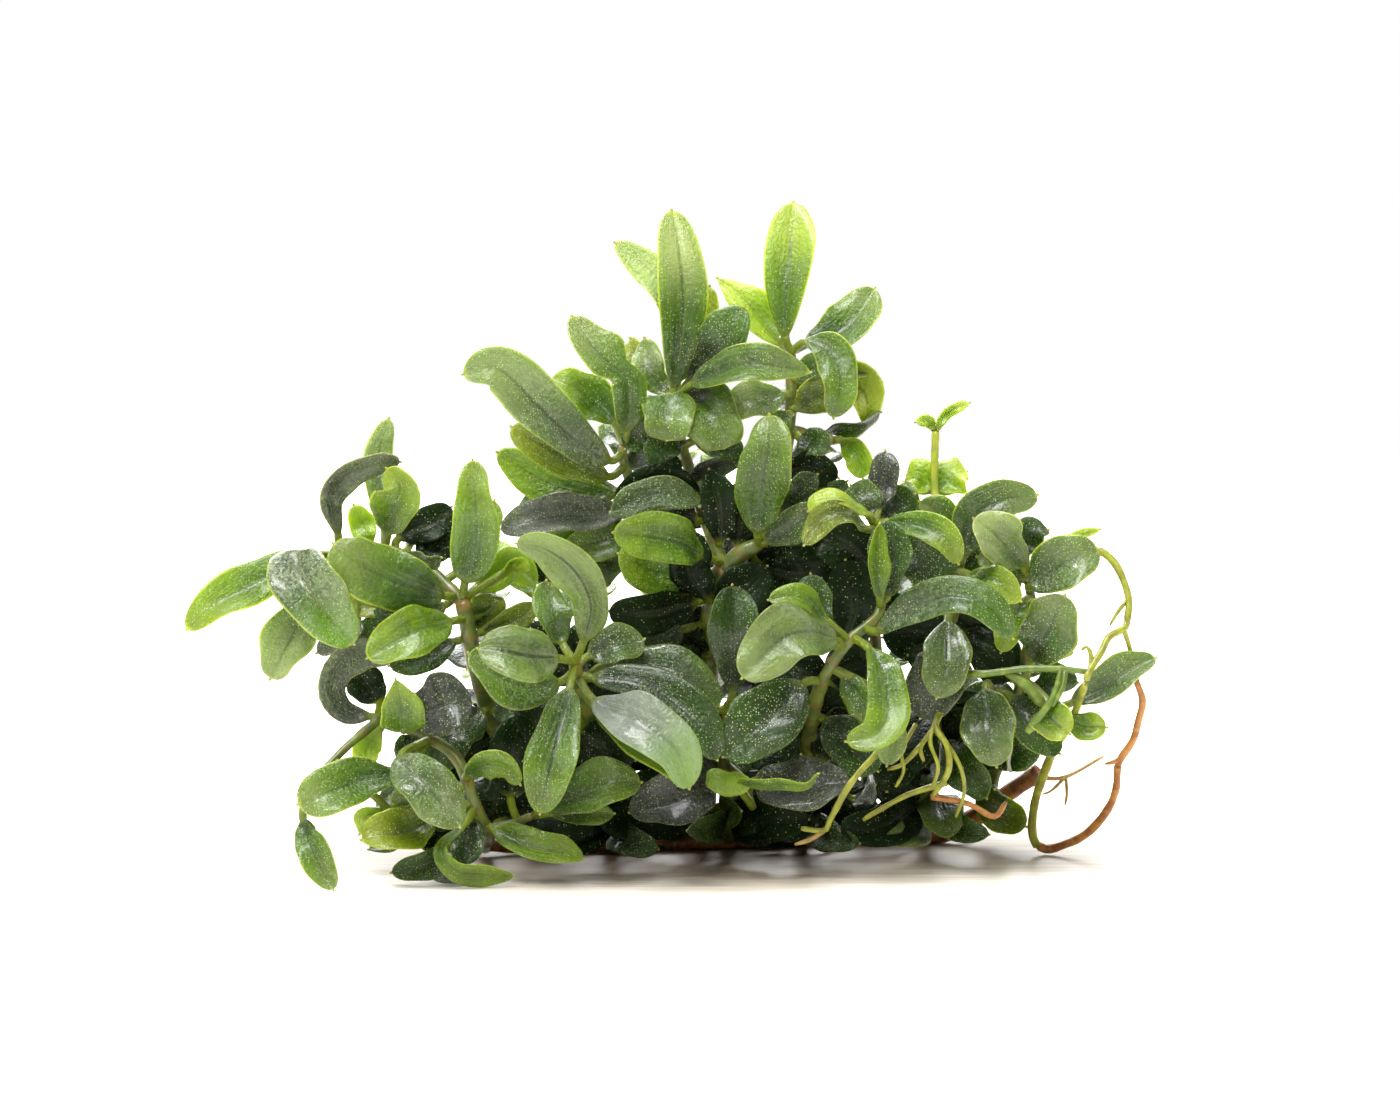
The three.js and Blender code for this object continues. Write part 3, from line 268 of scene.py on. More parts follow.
leafTones = {  # linear colours; silver is each tone's share of the silvery flecks, partly the leaf's own silver and partly painted sheen
    "lime": {"body": (0.29, 0.39, 0.040), "deep": (0.16, 0.25, 0.020), "light": (0.49, 0.58, 0.12),
             "tip": (0.58, 0.64, 0.16), "rim": (0.80, 0.80, 0.12), "under": (0.36, 0.48, 0.05),
             "dots": 0.35, "silver": 0.10, "glow": 0.60, "specular": 0.35},
    "bright": {"body": (0.095, 0.178, 0.010), "deep": (0.022, 0.066, 0.004), "light": (0.26, 0.36, 0.046),
               "tip": (0.39, 0.46, 0.090), "rim": (0.60, 0.66, 0.08), "under": (0.20, 0.30, 0.04),
               "dots": 0.6, "silver": 0.30, "glow": 0.50, "specular": 0.35},
    "green": {"body": (0.050, 0.112, 0.006), "deep": (0.011, 0.036, 0.003), "light": (0.150, 0.245, 0.022),
              "tip": (0.34, 0.39, 0.150), "rim": (0.48, 0.54, 0.08), "under": (0.14, 0.20, 0.035),
              "dots": 0.8, "silver": 0.45, "glow": 0.40, "specular": 0.35},
    "olive": {"body": (0.098, 0.138, 0.008), "deep": (0.030, 0.050, 0.004), "light": (0.26, 0.31, 0.032),
              "tip": (0.42, 0.46, 0.075), "rim": (0.55, 0.56, 0.08), "under": (0.20, 0.23, 0.05),
              "dots": 0.7, "silver": 0.30, "glow": 0.40, "specular": 0.35},
    "pale": {"body": (0.090, 0.150, 0.024), "deep": (0.026, 0.054, 0.008), "light": (0.29, 0.37, 0.115),
             "tip": (0.42, 0.49, 0.22), "rim": (0.60, 0.62, 0.18), "under": (0.22, 0.27, 0.10),
             "dots": 0.8, "silver": 0.75, "glow": 0.42, "specular": 0.40},
    "silver": {"body": (0.034, 0.076, 0.009), "deep": (0.008, 0.024, 0.003), "light": (0.115, 0.170, 0.036),
               "tip": (0.19, 0.25, 0.080), "rim": (0.42, 0.48, 0.09), "under": (0.14, 0.18, 0.05),
               "dots": 1.0, "silver": 0.75, "glow": 0.32, "specular": 0.42},
    # a tone with the most silvery flecks: partly the leaf's own silver, partly painted sheen
    "frosted": {"body": (0.030, 0.060, 0.012), "deep": (0.007, 0.016, 0.005), "light": (0.120, 0.160, 0.060),
                "tip": (0.16, 0.34, 0.010), "rim": (0.40, 0.46, 0.09), "under": (0.14, 0.18, 0.06),
                "dots": 0.95, "silver": 1.0, "glow": 0.32, "specular": 0.50},
    "dark": {"body": (0.013, 0.038, 0.004), "deep": (0.0035, 0.011, 0.002), "light": (0.046, 0.096, 0.011),
             "tip": (0.060, 0.120, 0.016), "rim": (0.20, 0.28, 0.04), "under": (0.07, 0.10, 0.03),
             "dots": 0.95, "silver": 0.45, "glow": 0.25, "specular": 0.34},
    # painted sheen: a whitish-lilac body for a leaf that faces the light from above and in front
    "glazed": {"body": (0.21, 0.235, 0.20), "deep": (0.085, 0.105, 0.075), "light": (0.33, 0.37, 0.31),
               "tip": (0.17, 0.30, 0.040), "rim": (0.36, 0.46, 0.12), "under": (0.14, 0.20, 0.05),
               "dots": 0.1, "silver": 0.4, "glow": 0.35, "specular": 0.40},
    "lilac": {"body": (0.060, 0.064, 0.052), "deep": (0.016, 0.017, 0.016), "light": (0.185, 0.180, 0.165),
              "tip": (0.150, 0.180, 0.110), "rim": (0.34, 0.27, 0.12), "under": (0.17, 0.14, 0.12),
              "dots": 0.95, "silver": 0.65, "glow": 0.25, "specular": 0.42},
    "purple": {"body": (0.021, 0.025, 0.018), "deep": (0.006, 0.007, 0.006), "light": (0.070, 0.074, 0.060),
               "tip": (0.080, 0.088, 0.062), "rim": (0.18, 0.19, 0.07), "under": (0.09, 0.08, 0.075),
               "dots": 0.95, "silver": 0.45, "glow": 0.25, "specular": 0.38},
    # painted shade: a near-black tone for leaves deep in the clump and low in front, where shade falls
    "black": {"body": (0.0045, 0.0125, 0.0024), "deep": (0.0018, 0.005, 0.0012),
              "light": (0.012, 0.028, 0.005), "tip": (0.012, 0.028, 0.005),
              "rim": (0.020, 0.040, 0.008), "under": (0.010, 0.018, 0.006),
              "dots": 0.3, "silver": 0.08, "glow": 0.10, "specular": 0.10},
}
leafFinish = {
    "silverSheenColour": (0.22, 0.275, 0.14),
    "dotColour": (0.52, 0.62, 0.30),
    "ribColour": (0.15, 0.165, 0.10),
    "stalkColour": (0.20, 0.25, 0.035),
    "mucroColour": (0.42, 0.42, 0.13),
    "spotColour": (0.10, 0.060, 0.015),
    # clouds: the scale is per metre, and the span is where one begins and where it is full
    "mottle": {"scale": 380.0, "detail": 6, "roughness": 0.62, "span": (0.36, 0.64)},
    "streaks": {"scale": 1.0, "detail": 3, "span": (0.46, 0.66)},
    "streakStretch": (9.0, 1.3, 50.0),  # across the blade, along it, and from leaf to leaf
    "silver": {"scale": 240.0, "detail": 2, "span": (0.34, 0.66)},
    "flecks": {"scale": 2300.0, "detail": 3, "roughness": 0.6, "span": (0.38, 0.68)},
    "dotGroups": {"scale": 408.0, "detail": 3, "span": (0.25, 0.60)},
    "spots": {"scale": 900.0, "detail": 2, "span": (0.70, 0.76)},
    "gloss": {"scale": 2400.0, "detail": 3, "span": (0.3, 0.7)},
    "grain": {"scale": 6000.0, "detail": 2},
    "quilt": {"scale": 620.0, "detail": 2},
    "pebbleScale": 3000.0,
    "dotScale": 3900.0, "dotScatter": 0.75, "dotSize": (0.33, 0.16),
    # spans along the blade, from 0 at its foot to 1, or outwards from the midrib
    "tipAlong": (0.35, 1.0), "footAlong": (0.70, 0.10),
    "flankHighlightOut": (0.35, 0.75, 0.99),
    "bandOut": (0.22, 0.06), "bandAlong": (0.85, 0.35),  # a greyish band on the lower half of the midrib
    "ribOut": (0.10, 0.02), "ribAlong": (1.0, 0.6),
    "edgeOut": (0.90, 0.995), "edgeAlong": (0.965, 0.995),
    "stalkAlong": (0.10, -0.05), "mucroAlong": (0.995, 1.02),
    # shares of one colour laid over another
    "seedShare": 0.25, "outerLightShare": 0.08, "flankHighlightShare": 0.20, "streakShare": 0.24, "silverSheenShare": 0.65,
    "bandShare": 0.32, "ribShare": 0.75, "dotShare": 0.82, "spotShare": 0.4, "underShare": 0.7,
    "stalkShare": 0.8,
    "tipLeast": 0.30, "fleckLeast": 0.12, "dotLeast": 0.35,
    "rimLeast": 0.14, "rimMost": 0.70,  # painted backlit glow: the margin is painted palest on the outer leaves
    "saturation": 1.10, "value": 0.98,
    "heights": {"quilt": 1.3, "pebbles": 1.1, "grain": 0.35, "streaks": 0.30, "dots": 0.4},
    "bumpStrength": 0.9, "bumpDepth": 0.00013,
    "roughness": (0.24, 0.44),
    "coatShare": 0.75,  # of the specular level
    "coatRoughness": 0.15,
    "glowTint": (0.75, 1.0, 0.12), "glowDepth": 0.0007,
}


def finishShader(tree, shader, colour, height, finish, glow):
    bump = addNode(tree, "Bump", {"Height": height, "Strength": finish["bumpStrength"],
                                  "Distance": finish["bumpDepth"]})
    tree.links.new(colour, shader.inputs["Base Color"])
    tree.links.new(bump.outputs[0], shader.inputs["Normal"])
    shader.inputs["Coat Roughness"].default_value = finish["coatRoughness"]
    shader.inputs["Subsurface Weight"].default_value = glow
    shader.inputs["Subsurface Radius"].default_value = finish["glowTint"]
    shader.inputs["Subsurface Scale"].default_value = finish["glowDepth"]


def leafMaterial(toneName, tone):
    material, tree, shader = newMaterial(toneName + "Leaf")
    finish = leafFinish
    along, across, seed = split(tree, attribute(tree, "leafPlace"))
    tipShare, footShare, sheenShare = split(tree, attribute(tree, "leafLook"))
    dotShare, ribShare, _ = split(tree, attribute(tree, "leafMarks"))
    upper = attribute(tree, "leafUpper", "Fac")
    outerLit = attribute(tree, "leafOuterLight", "Fac")
    outwards = calc(tree, "ABSOLUTE", across)
    place = addNode(tree, "TexCoord").outputs["Object"]

    def times(first, second):
        return calc(tree, "MULTIPLY", first, second)

    def washed(colour, amount, share, over):
        return mixed(tree, times(amount, share), colour, opaque(over))

    colour = mixed(tree, patches(tree, place, finish["mottle"]), opaque(tone["deep"]), opaque(tone["body"]))
    colour = washed(colour, seed, finish["seedShare"], tone["light"])
    # painted light: the outer leaves are washed lighter
    colour = washed(colour, outerLit, finish["outerLightShare"], tone["light"])
    # a pale tip, painted paler still on the outer leaves
    toTip = calc(tree, "MULTIPLY", eased(tree, along, *finish["tipAlong"]),
                 calc(tree, "ADD", outerLit, finish["tipLeast"]), clamp=True)
    colour = washed(colour, toTip, tipShare, tone["tip"])
    colour = washed(colour, eased(tree, along, *finish["footAlong"]), footShare, tone["deep"])
    # painted highlight: the flanks between the midrib and the margin are painted lighter
    colour = washed(colour, ridge(tree, outwards, *finish["flankHighlightOut"]), finish["flankHighlightShare"], tone["light"])

    stretches = zip((across, along, seed), finish["streakStretch"])
    stretched = addNode(tree, "CombineXYZ", {i: times(part, by) for i, (part, by) in enumerate(stretches)})
    streaks = patches(tree, stretched.outputs[0], finish["streaks"])
    colour = washed(colour, streaks, finish["streakShare"], tone["light"])

    # silvery flecks in patches: partly the leaf's own silver colouring, partly painted sheen
    flecks = calc(tree, "ADD", patches(tree, place, finish["flecks"]), finish["fleckLeast"])
    silverAndSheen = times(times(patches(tree, place, finish["silver"]), flecks), times(sheenShare, tone["silver"]))
    colour = washed(colour, calc(tree, "MINIMUM", silverAndSheen, 1.0), finish["silverSheenShare"], finish["silverSheenColour"])

    band = times(eased(tree, outwards, *finish["bandOut"]), eased(tree, along, *finish["bandAlong"]))
    colour = washed(colour, times(band, ribShare), finish["bandShare"], finish["ribColour"])
    bold = times(eased(tree, along, *finish["ribAlong"]), ribShare)
    rib = times(eased(tree, outwards, *finish["ribOut"]), bold)
    colour = washed(colour, rib, finish["ribShare"], tone["deep"])

    # pale dots: partly the leaf's own specks, partly painted glints, gathered in patches
    cells = addNode(tree, "TexVoronoi", {"Vector": place, "Scale": finish["dotScale"],
                                         "Randomness": finish["dotScatter"]}).outputs
    chance = addNode(tree, "SeparateColor", {0: cells["Color"]}).outputs
    kept = calc(tree, "LESS_THAN", chance[0], tone["dots"])
    dots = times(eased(tree, cells["Distance"], *finish["dotSize"]), kept)
    dots = times(dots, patches(tree, place, finish["dotGroups"]))
    dots = times(dots, times(calc(tree, "ADD", chance[1], finish["dotLeast"]), dotShare))
    colour = washed(colour, dots, finish["dotShare"], finish["dotColour"])
    colour = washed(colour, patches(tree, place, finish["spots"]), finish["spotShare"], finish["spotColour"])

    colour = washed(colour, calc(tree, "SUBTRACT", 1.0, upper), finish["underShare"], tone["under"])
    # painted backlit glow along the margin and at the tip, strongest on the outer leaves
    edge = calc(tree, "MAXIMUM", eased(tree, outwards, *finish["edgeOut"]),
                eased(tree, along, *finish["edgeAlong"]))
    rimShare = calc(tree, "ADD", times(outerLit, finish["rimMost"] - finish["rimLeast"]), finish["rimLeast"])
    colour = washed(colour, edge, rimShare, tone["rim"])
    colour = washed(colour, eased(tree, along, *finish["stalkAlong"]), finish["stalkShare"],
                    finish["stalkColour"])
    colour = mixed(tree, eased(tree, along, *finish["mucroAlong"]), colour, opaque(finish["mucroColour"]))
    colour = addNode(tree, "HueSaturation", {"Color": colour, "Saturation": finish["saturation"],
                                             "Value": finish["value"]}).outputs["Color"]

    gloss = cloud(tree, place, finish["gloss"])
    (dull, dullest), (low, high) = finish["gloss"]["span"], finish["roughness"]
    roughness = addNode(tree, "MapRange", {"Value": gloss, "From Min": dull, "From Max": dullest,
                                           "To Min": low, "To Max": high}).outputs["Result"]
    pebbles = addNode(tree, "TexVoronoi", {"Vector": place, "Scale": finish["pebbleScale"]},
                      feature="SMOOTH_F1").outputs["Distance"]
    grain = cloud(tree, place, finish["grain"])
    height = times(cloud(tree, place, finish["quilt"]), finish["heights"]["quilt"])
    for name, layer in (("pebbles", pebbles), ("grain", grain), ("streaks", streaks), ("dots", dots)):
        height = calc(tree, "ADD", height, times(layer, finish["heights"][name]))

    tree.links.new(roughness, shader.inputs["Roughness"])
    shader.inputs["Specular IOR Level"].default_value = tone["specular"]
    shader.inputs["Coat Weight"].default_value = tone["specular"] * finish["coatShare"]
    finishShader(tree, shader, colour, height, finish, tone["glow"])
    return material


stemTones = {
    "stem": {"base": (0.150, 0.185, 0.024), "second": (0.070, 0.098, 0.014), "scar": (0.22, 0.11, 0.020),
             "node": 0.5, "glow": 0.2},
    "youngStem": {"base": (0.25, 0.29, 0.055), "second": (0.13, 0.165, 0.028), "scar": (0.30, 0.16, 0.035),
                  "node": 0.5, "glow": 0.4},
    "limeStem": {"base": (0.46, 0.52, 0.05), "second": (0.30, 0.38, 0.03), "scar": (0.46, 0.48, 0.06),
                 "node": 0.0, "glow": 0.5},
    "rhizome": {"base": (0.40, 0.145, 0.036), "second": (0.15, 0.052, 0.015), "scar": (0.36, 0.16, 0.04),
                "node": 0.3, "glow": 0.1},
    "root": {"base": (0.34, 0.37, 0.030), "second": (0.22, 0.23, 0.018), "scar": (0.34, 0.30, 0.05),
             "node": 0.0, "glow": 0.5},
    "greenRoot": {"base": (0.15, 0.24, 0.018), "second": (0.09, 0.15, 0.012), "scar": (0.26, 0.30, 0.04),
                  "node": 0.0, "glow": 0.4},
    "rustRoot": {"base": (0.50, 0.22, 0.040), "second": (0.32, 0.115, 0.022), "scar": (0.50, 0.28, 0.07),
                 "node": 0.0, "glow": 0.5},
    "tanRoot": {"base": (0.52, 0.36, 0.10), "second": (0.36, 0.22, 0.05), "scar": (0.55, 0.40, 0.14),
                "node": 0.0, "glow": 0.4},
}
stemFinish = {
    "nodeColour": (0.36, 0.13, 0.025), "endSpan": (0.96, 0.995),  # the brown node that a stem may end on
    "mottle": {"scale": 700.0, "detail": 4, "span": (0.38, 0.62)},
    "grain": {"scale": 1600.0, "detail": 4},
    "scarSpan": (0.12, 0.02), "scarShare": 0.5,
    "bumpStrength": 0.6, "bumpDepth": 0.00008,
    "roughness": 0.42, "coat": 0.25, "coatRoughness": 0.12,
    "glowTint": (1.0, 0.7, 0.2), "glowDepth": 0.0005,
}


def stemMaterial(toneName, tone):
    material, tree, shader = newMaterial(toneName + "Skin")
    place = addNode(tree, "TexCoord").outputs["Object"]
    internode = split(tree, attribute(tree, "leafPlace"))["X"]
    along = split(tree, attribute(tree, "leafMarks"))["X"]
    mottle = patches(tree, place, stemFinish["mottle"])
    colour = mixed(tree, mottle, opaque(tone["base"]), opaque(tone["second"]))
    scar = eased(tree, calc(tree, "PINGPONG", internode, 0.5), *stemFinish["scarSpan"])
    colour = mixed(tree, calc(tree, "MULTIPLY", scar, stemFinish["scarShare"]), colour, opaque(tone["scar"]))
    atEnd = calc(tree, "MULTIPLY", eased(tree, along, *stemFinish["endSpan"]), tone["node"])
    colour = mixed(tree, atEnd, colour, opaque(stemFinish["nodeColour"]))
    shader.inputs["Roughness"].default_value = stemFinish["roughness"]
    shader.inputs["Coat Weight"].default_value = stemFinish["coat"]
    finishShader(tree, shader, colour, cloud(tree, place, stemFinish["grain"]), stemFinish, tone["glow"])
    return material


materials = {name: leafMaterial(name, tone) for name, tone in leafTones.items()}
materials.update({name: stemMaterial(name, tone) for name, tone in stemTones.items()})
materialOrder = list(materials)
print("materials made:", len(materials))

# curves

def lifted(points, height):  # keeps points at least this high over the ground
    lowest = (height + points[:, 1] * math.sin(lean)) / math.cos(lean)
    points[:, 2] = np.maximum(points[:, 2], lowest)
    return points


def drawn(points):  # [across, up, back] to columns across, back, up
    points = np.asarray(points, float)
    return lifted(points[:, [0, 2, 1]].copy(), clump["ribLift"])


def spread(values, shares):
    values = np.atleast_1d(np.asarray(values, float))
    return np.interp(np.asarray(shares) * (len(values) - 1), np.arange(len(values)), values)


perSpan = 24  # steps between two points of a curve
tangentStep = 0.004  # share of a curve to either side, over which its direction is taken


def smoothCourse(points):
    padded = np.vstack([2 * points[0] - points[1], points, 2 * points[-1] - points[-2]])
    t = np.linspace(0, 1, perSpan, endpoint=False)[:, None]
    spans = []
    for a, b, c, d in zip(padded, padded[1:], padded[2:], padded[3:]):
        spans.append(b + t * (c - a) / 2 + t ** 2 * (2 * a - 5 * b + 4 * c - d) / 2
                     + t ** 3 * (3 * b - a - 3 * c + d) / 2)
    line = np.vstack(spans + [points[-1:]])
    steps = np.linalg.norm(np.diff(line, axis=0), axis=1)
    return line, np.concatenate([[0], np.cumsum(steps)])


def readCourse(line, lengths, shares):
    def places(values):
        wanted = np.clip(values, 0, 1) * lengths[-1]
        return np.stack([np.interp(wanted, lengths, line[:, k]) for k in range(3)], axis=1)
    tangents = places(shares + tangentStep) - places(shares - tangentStep)
    return places(shares), tangents / np.linalg.norm(tangents, axis=1)[:, None]


def unit(vectors):
    return vectors / np.linalg.norm(vectors, axis=-1, keepdims=True)


def sidesAlong(tangents, shares, turns):  # carried from the middle without twisting, then turned
    front = (0.0, -1.0, 0.0)
    middle = int(np.argmin(np.abs(shares - 0.5)))
    sides = np.empty_like(tangents)
    sides[middle] = unit(np.cross(tangents[middle], front))
    for order in (range(middle + 1, len(shares)), range(middle - 1, -1, -1)):
        side = sides[middle]
        for i in order:
            side = unit(side - tangents[i] * np.dot(side, tangents[i]))
            sides[i] = side
    faces = np.cross(sides, tangents)
    angle = np.radians(turns)[:, None]
    turnedSides = sides * np.cos(angle) - faces * np.sin(angle)
    return turnedSides, np.cross(turnedSides, tangents)


def ringQuads(rows, around):
    i, k = np.meshgrid(np.arange(rows - 1), np.arange(around), indexing="ij")
    here, beside = i * around + k, i * around + (k + 1) % around
    quads = np.stack([here, here + around, beside + around, beside], axis=-1).reshape(-1, 4)
    start = list(range(around))
    end = [(rows - 1) * around + k for k in reversed(range(around))]
    return quads.tolist() + [start, end]


# stems

stemBuild = {
    "sides": 14, "step": 0.5, "leastRows": 6,
    "internode": 2.8,
    "swell": 0.12, "swellLength": 0.5,  # at a scar, with a crease in its middle
    "crease": 0.07, "creaseLength": 0.12,
    "endShare": 0.7, "endFrom": 0.995,  # the last ring is smaller
    "wobble": 0.05, "wobbleTurn": 2.2,
}


def stemSkin(stem, tone):
    build = stemBuild
    line, lengths = smoothCourse(drawn(stem["points"]))
    rows = max(build["leastRows"], int(lengths[-1] / build["step"]))
    shares = np.linspace(0, 1, rows)
    centres, tangents = readCourse(line, lengths, shares)
    sides, faces = sidesAlong(tangents, shares, np.zeros(rows))
    internodes = shares * lengths[-1] / build["internode"] + luck.random()
    toScar = np.abs(internodes - np.round(internodes)) * build["internode"]
    radius = spread(stem["thick"], shares) / 2
    radius *= (1 + build["swell"] * np.exp(-(toScar / build["swellLength"]) ** 2)
               - build["crease"] * np.exp(-(toScar / build["creaseLength"]) ** 2))
    radius *= np.where(shares > build["endFrom"], build["endShare"], 1)
    angles = np.linspace(0, 2 * np.pi, build["sides"], endpoint=False)
    wobble = np.sin(angles * 2 + internodes[:, None] * build["wobbleTurn"])
    radii = radius[:, None] * (1 + build["wobble"] * wobble)
    ring = (centres[:, None] + sides[:, None] * (radii * np.cos(angles))[..., None]
            + faces[:, None] * (radii * np.sin(angles))[..., None])
    points = lifted(ring.reshape(-1, 3), clump["skinLift"])
    seed = np.full(len(points), luck.random())
    place = np.stack([np.repeat(internodes, len(angles)), np.tile(angles, rows), seed], axis=1)
    return {"points": points, "faces": ringQuads(rows, len(angles)), "material": tone, "leafPlace": place,
            "leafUpper": np.ones(len(points)), "leafLook": (0, 0, 0),
            "leafMarks": np.repeat(shares, len(angles))[:, None] * (1, 0, 0)}


def nearestOnStems(shoot, point):
    best = (np.inf, None)
    for stem in shoot["stems"]:
        line, lengths = smoothCourse(drawn(stem["points"]))
        distances = np.linalg.norm(line - point, axis=1)
        i = int(np.argmin(distances))
        if distances[i] < best[0]:
            best = (distances[i], line[i])
    return best[1]


# leaves

leafBuild = {
    "own": (40, 17), "small": (26, 11), "fill": (18, 9),  # rows and columns
    "stalkRows": 8,
    "stalkRadius": 0.42, "stalkTaper": 0.75,
    "evenRows": 0.35,  # the other rows are closer together at the foot and the tip
    "rimReach": 0.86,  # and the columns at the margins
    "thickness": 0.28, "rimThickness": 0.05, "aboveShare": 0.6,
    "thickMost": 0.8,  # of the half width
    "groove": 0.13, "grooveWidth": 0.26, "keel": 0.16,
    "grooveFoot": 5, "grooveTip": (1.02, 3),  # how fast it begins, and where and how fast it ends
    "widest": 0.54, "blunt": 0.44, "usualWidth": 5,
    "fold": 14, "foldSpread": 12, "foldRise": 1.15, "foldRound": 0.02,
    "wave": 0.46, "waves": 1.5,  # how far the margins rise and fall, and how often
    "waveLeast": 0.4, "waveLuck": 0.9, "wavePower": 2.2,
    "sway": 0.32, "sways": 1.1, "swayLeast": 0.4,  # the same for the rib
    "swayAlong": (0.05, 0.4),
    "twist": 12,  # degrees
    "wobble": 0.06, "wobbles": 7.5,  # uneven width, as a share of it
    "bladeEase": 0.25,  # length at either end over which waves and wobbles fade
    "flatAlong": (-0.10, 0.12),  # from the round stalk to the flat blade
    "curl": 0.10, "curlSpread": 0.12, "curlBack": 1.6,
    "roll": 0.45, "rollOut": (0.25, 1.1),  # how far a margin may bend, in mm on a leaf of the usual width
    "tipDrop": 0.5, "dropLength": 0.3,  # the tip bends down by up to this
    "mucro": 0.28, "mucroWidths": (0.15, 0.10, 0.03),  # the small pale point past the tip
    "mucroRows": (0.35, 0.75, 1.0), "mucroRise": 0.12, "mucroPlace": 0.1, "mucroFlat": 0.3,
    "pinch": (0.5, 0.0, 0.1),  # a waist: place, share of the width taken, length
    "tip": 0.55, "foot": 0.65, "sheen": 0.4,  # shares of the pale tip, the dark foot and the silvery sheen, partly painted
    "dots": 0.9, "rib": 0.6,  # and of the pale dots and the midrib's line
}


def leafOutline(stations, shape):  # half a sine wave, bent to be widest at its place
    bend = math.log(0.5) / math.log(shape["widest"])
    return np.clip(np.sin(np.pi * np.clip(stations, 0, 1) ** bend), 0, 1) ** shape["blunt"]


def smoothStep(values, low, high):
    share = np.clip((values - low) / (high - low), 0, 1)
    return share * share * (3 - 2 * share)


def bladeRows(foot, leaf, shape, rows):  # places, directions and shares along the stalk and the blade
    line, lengths = smoothCourse(np.vstack([foot, drawn(leaf[3])]))
    bladeFrom = lengths[perSpan] / lengths[-1]
    even = np.linspace(0, 1, rows)
    stations = shape["evenRows"] * even + (1 - shape["evenRows"]) * (0.5 - 0.5 * np.cos(np.pi * even))
    stalk = np.linspace(0, 1, shape["stalkRows"], endpoint=False)
    shares = np.concatenate([stalk * bladeFrom, bladeFrom + (1 - bladeFrom) * stations])
    along = np.concatenate([stalk - 1, stations])
    centres, tangents = readCourse(line, lengths, shares)
    twist = shape["twist"] * (2 * luck.random() - 1) * (2 * np.clip(along, 0, 1) - 1)
    sides, faces = sidesAlong(tangents, shares, spread(leaf[2], shares) + twist)
    dropping = np.clip((along - (1 - shape["dropLength"])) / shape["dropLength"], 0, 1) ** 2
    drop = shape["tipDrop"] * luck.random() * dropping
    sway = shape["sway"] * (shape["swayLeast"] + luck.random())
    sway = sway * np.sin((along * shape["sways"] + luck.random()) * 2 * np.pi)
    sway *= smoothStep(along, *shape["swayAlong"])
    centres = centres - faces * (drop + sway)[:, None]
    beyond = np.array(shape["mucroRows"])
    point = (centres[-1] + tangents[-1] * (beyond * shape["mucro"])[:, None]
             + faces[-1] * (beyond ** 2 * shape["mucroRise"])[:, None])
    return (np.vstack([centres, point]), np.vstack([sides, [sides[-1]] * 3]),
            np.vstack([faces, [faces[-1]] * 3]), np.concatenate([along, 1 + beyond * shape["mucroPlace"]]))


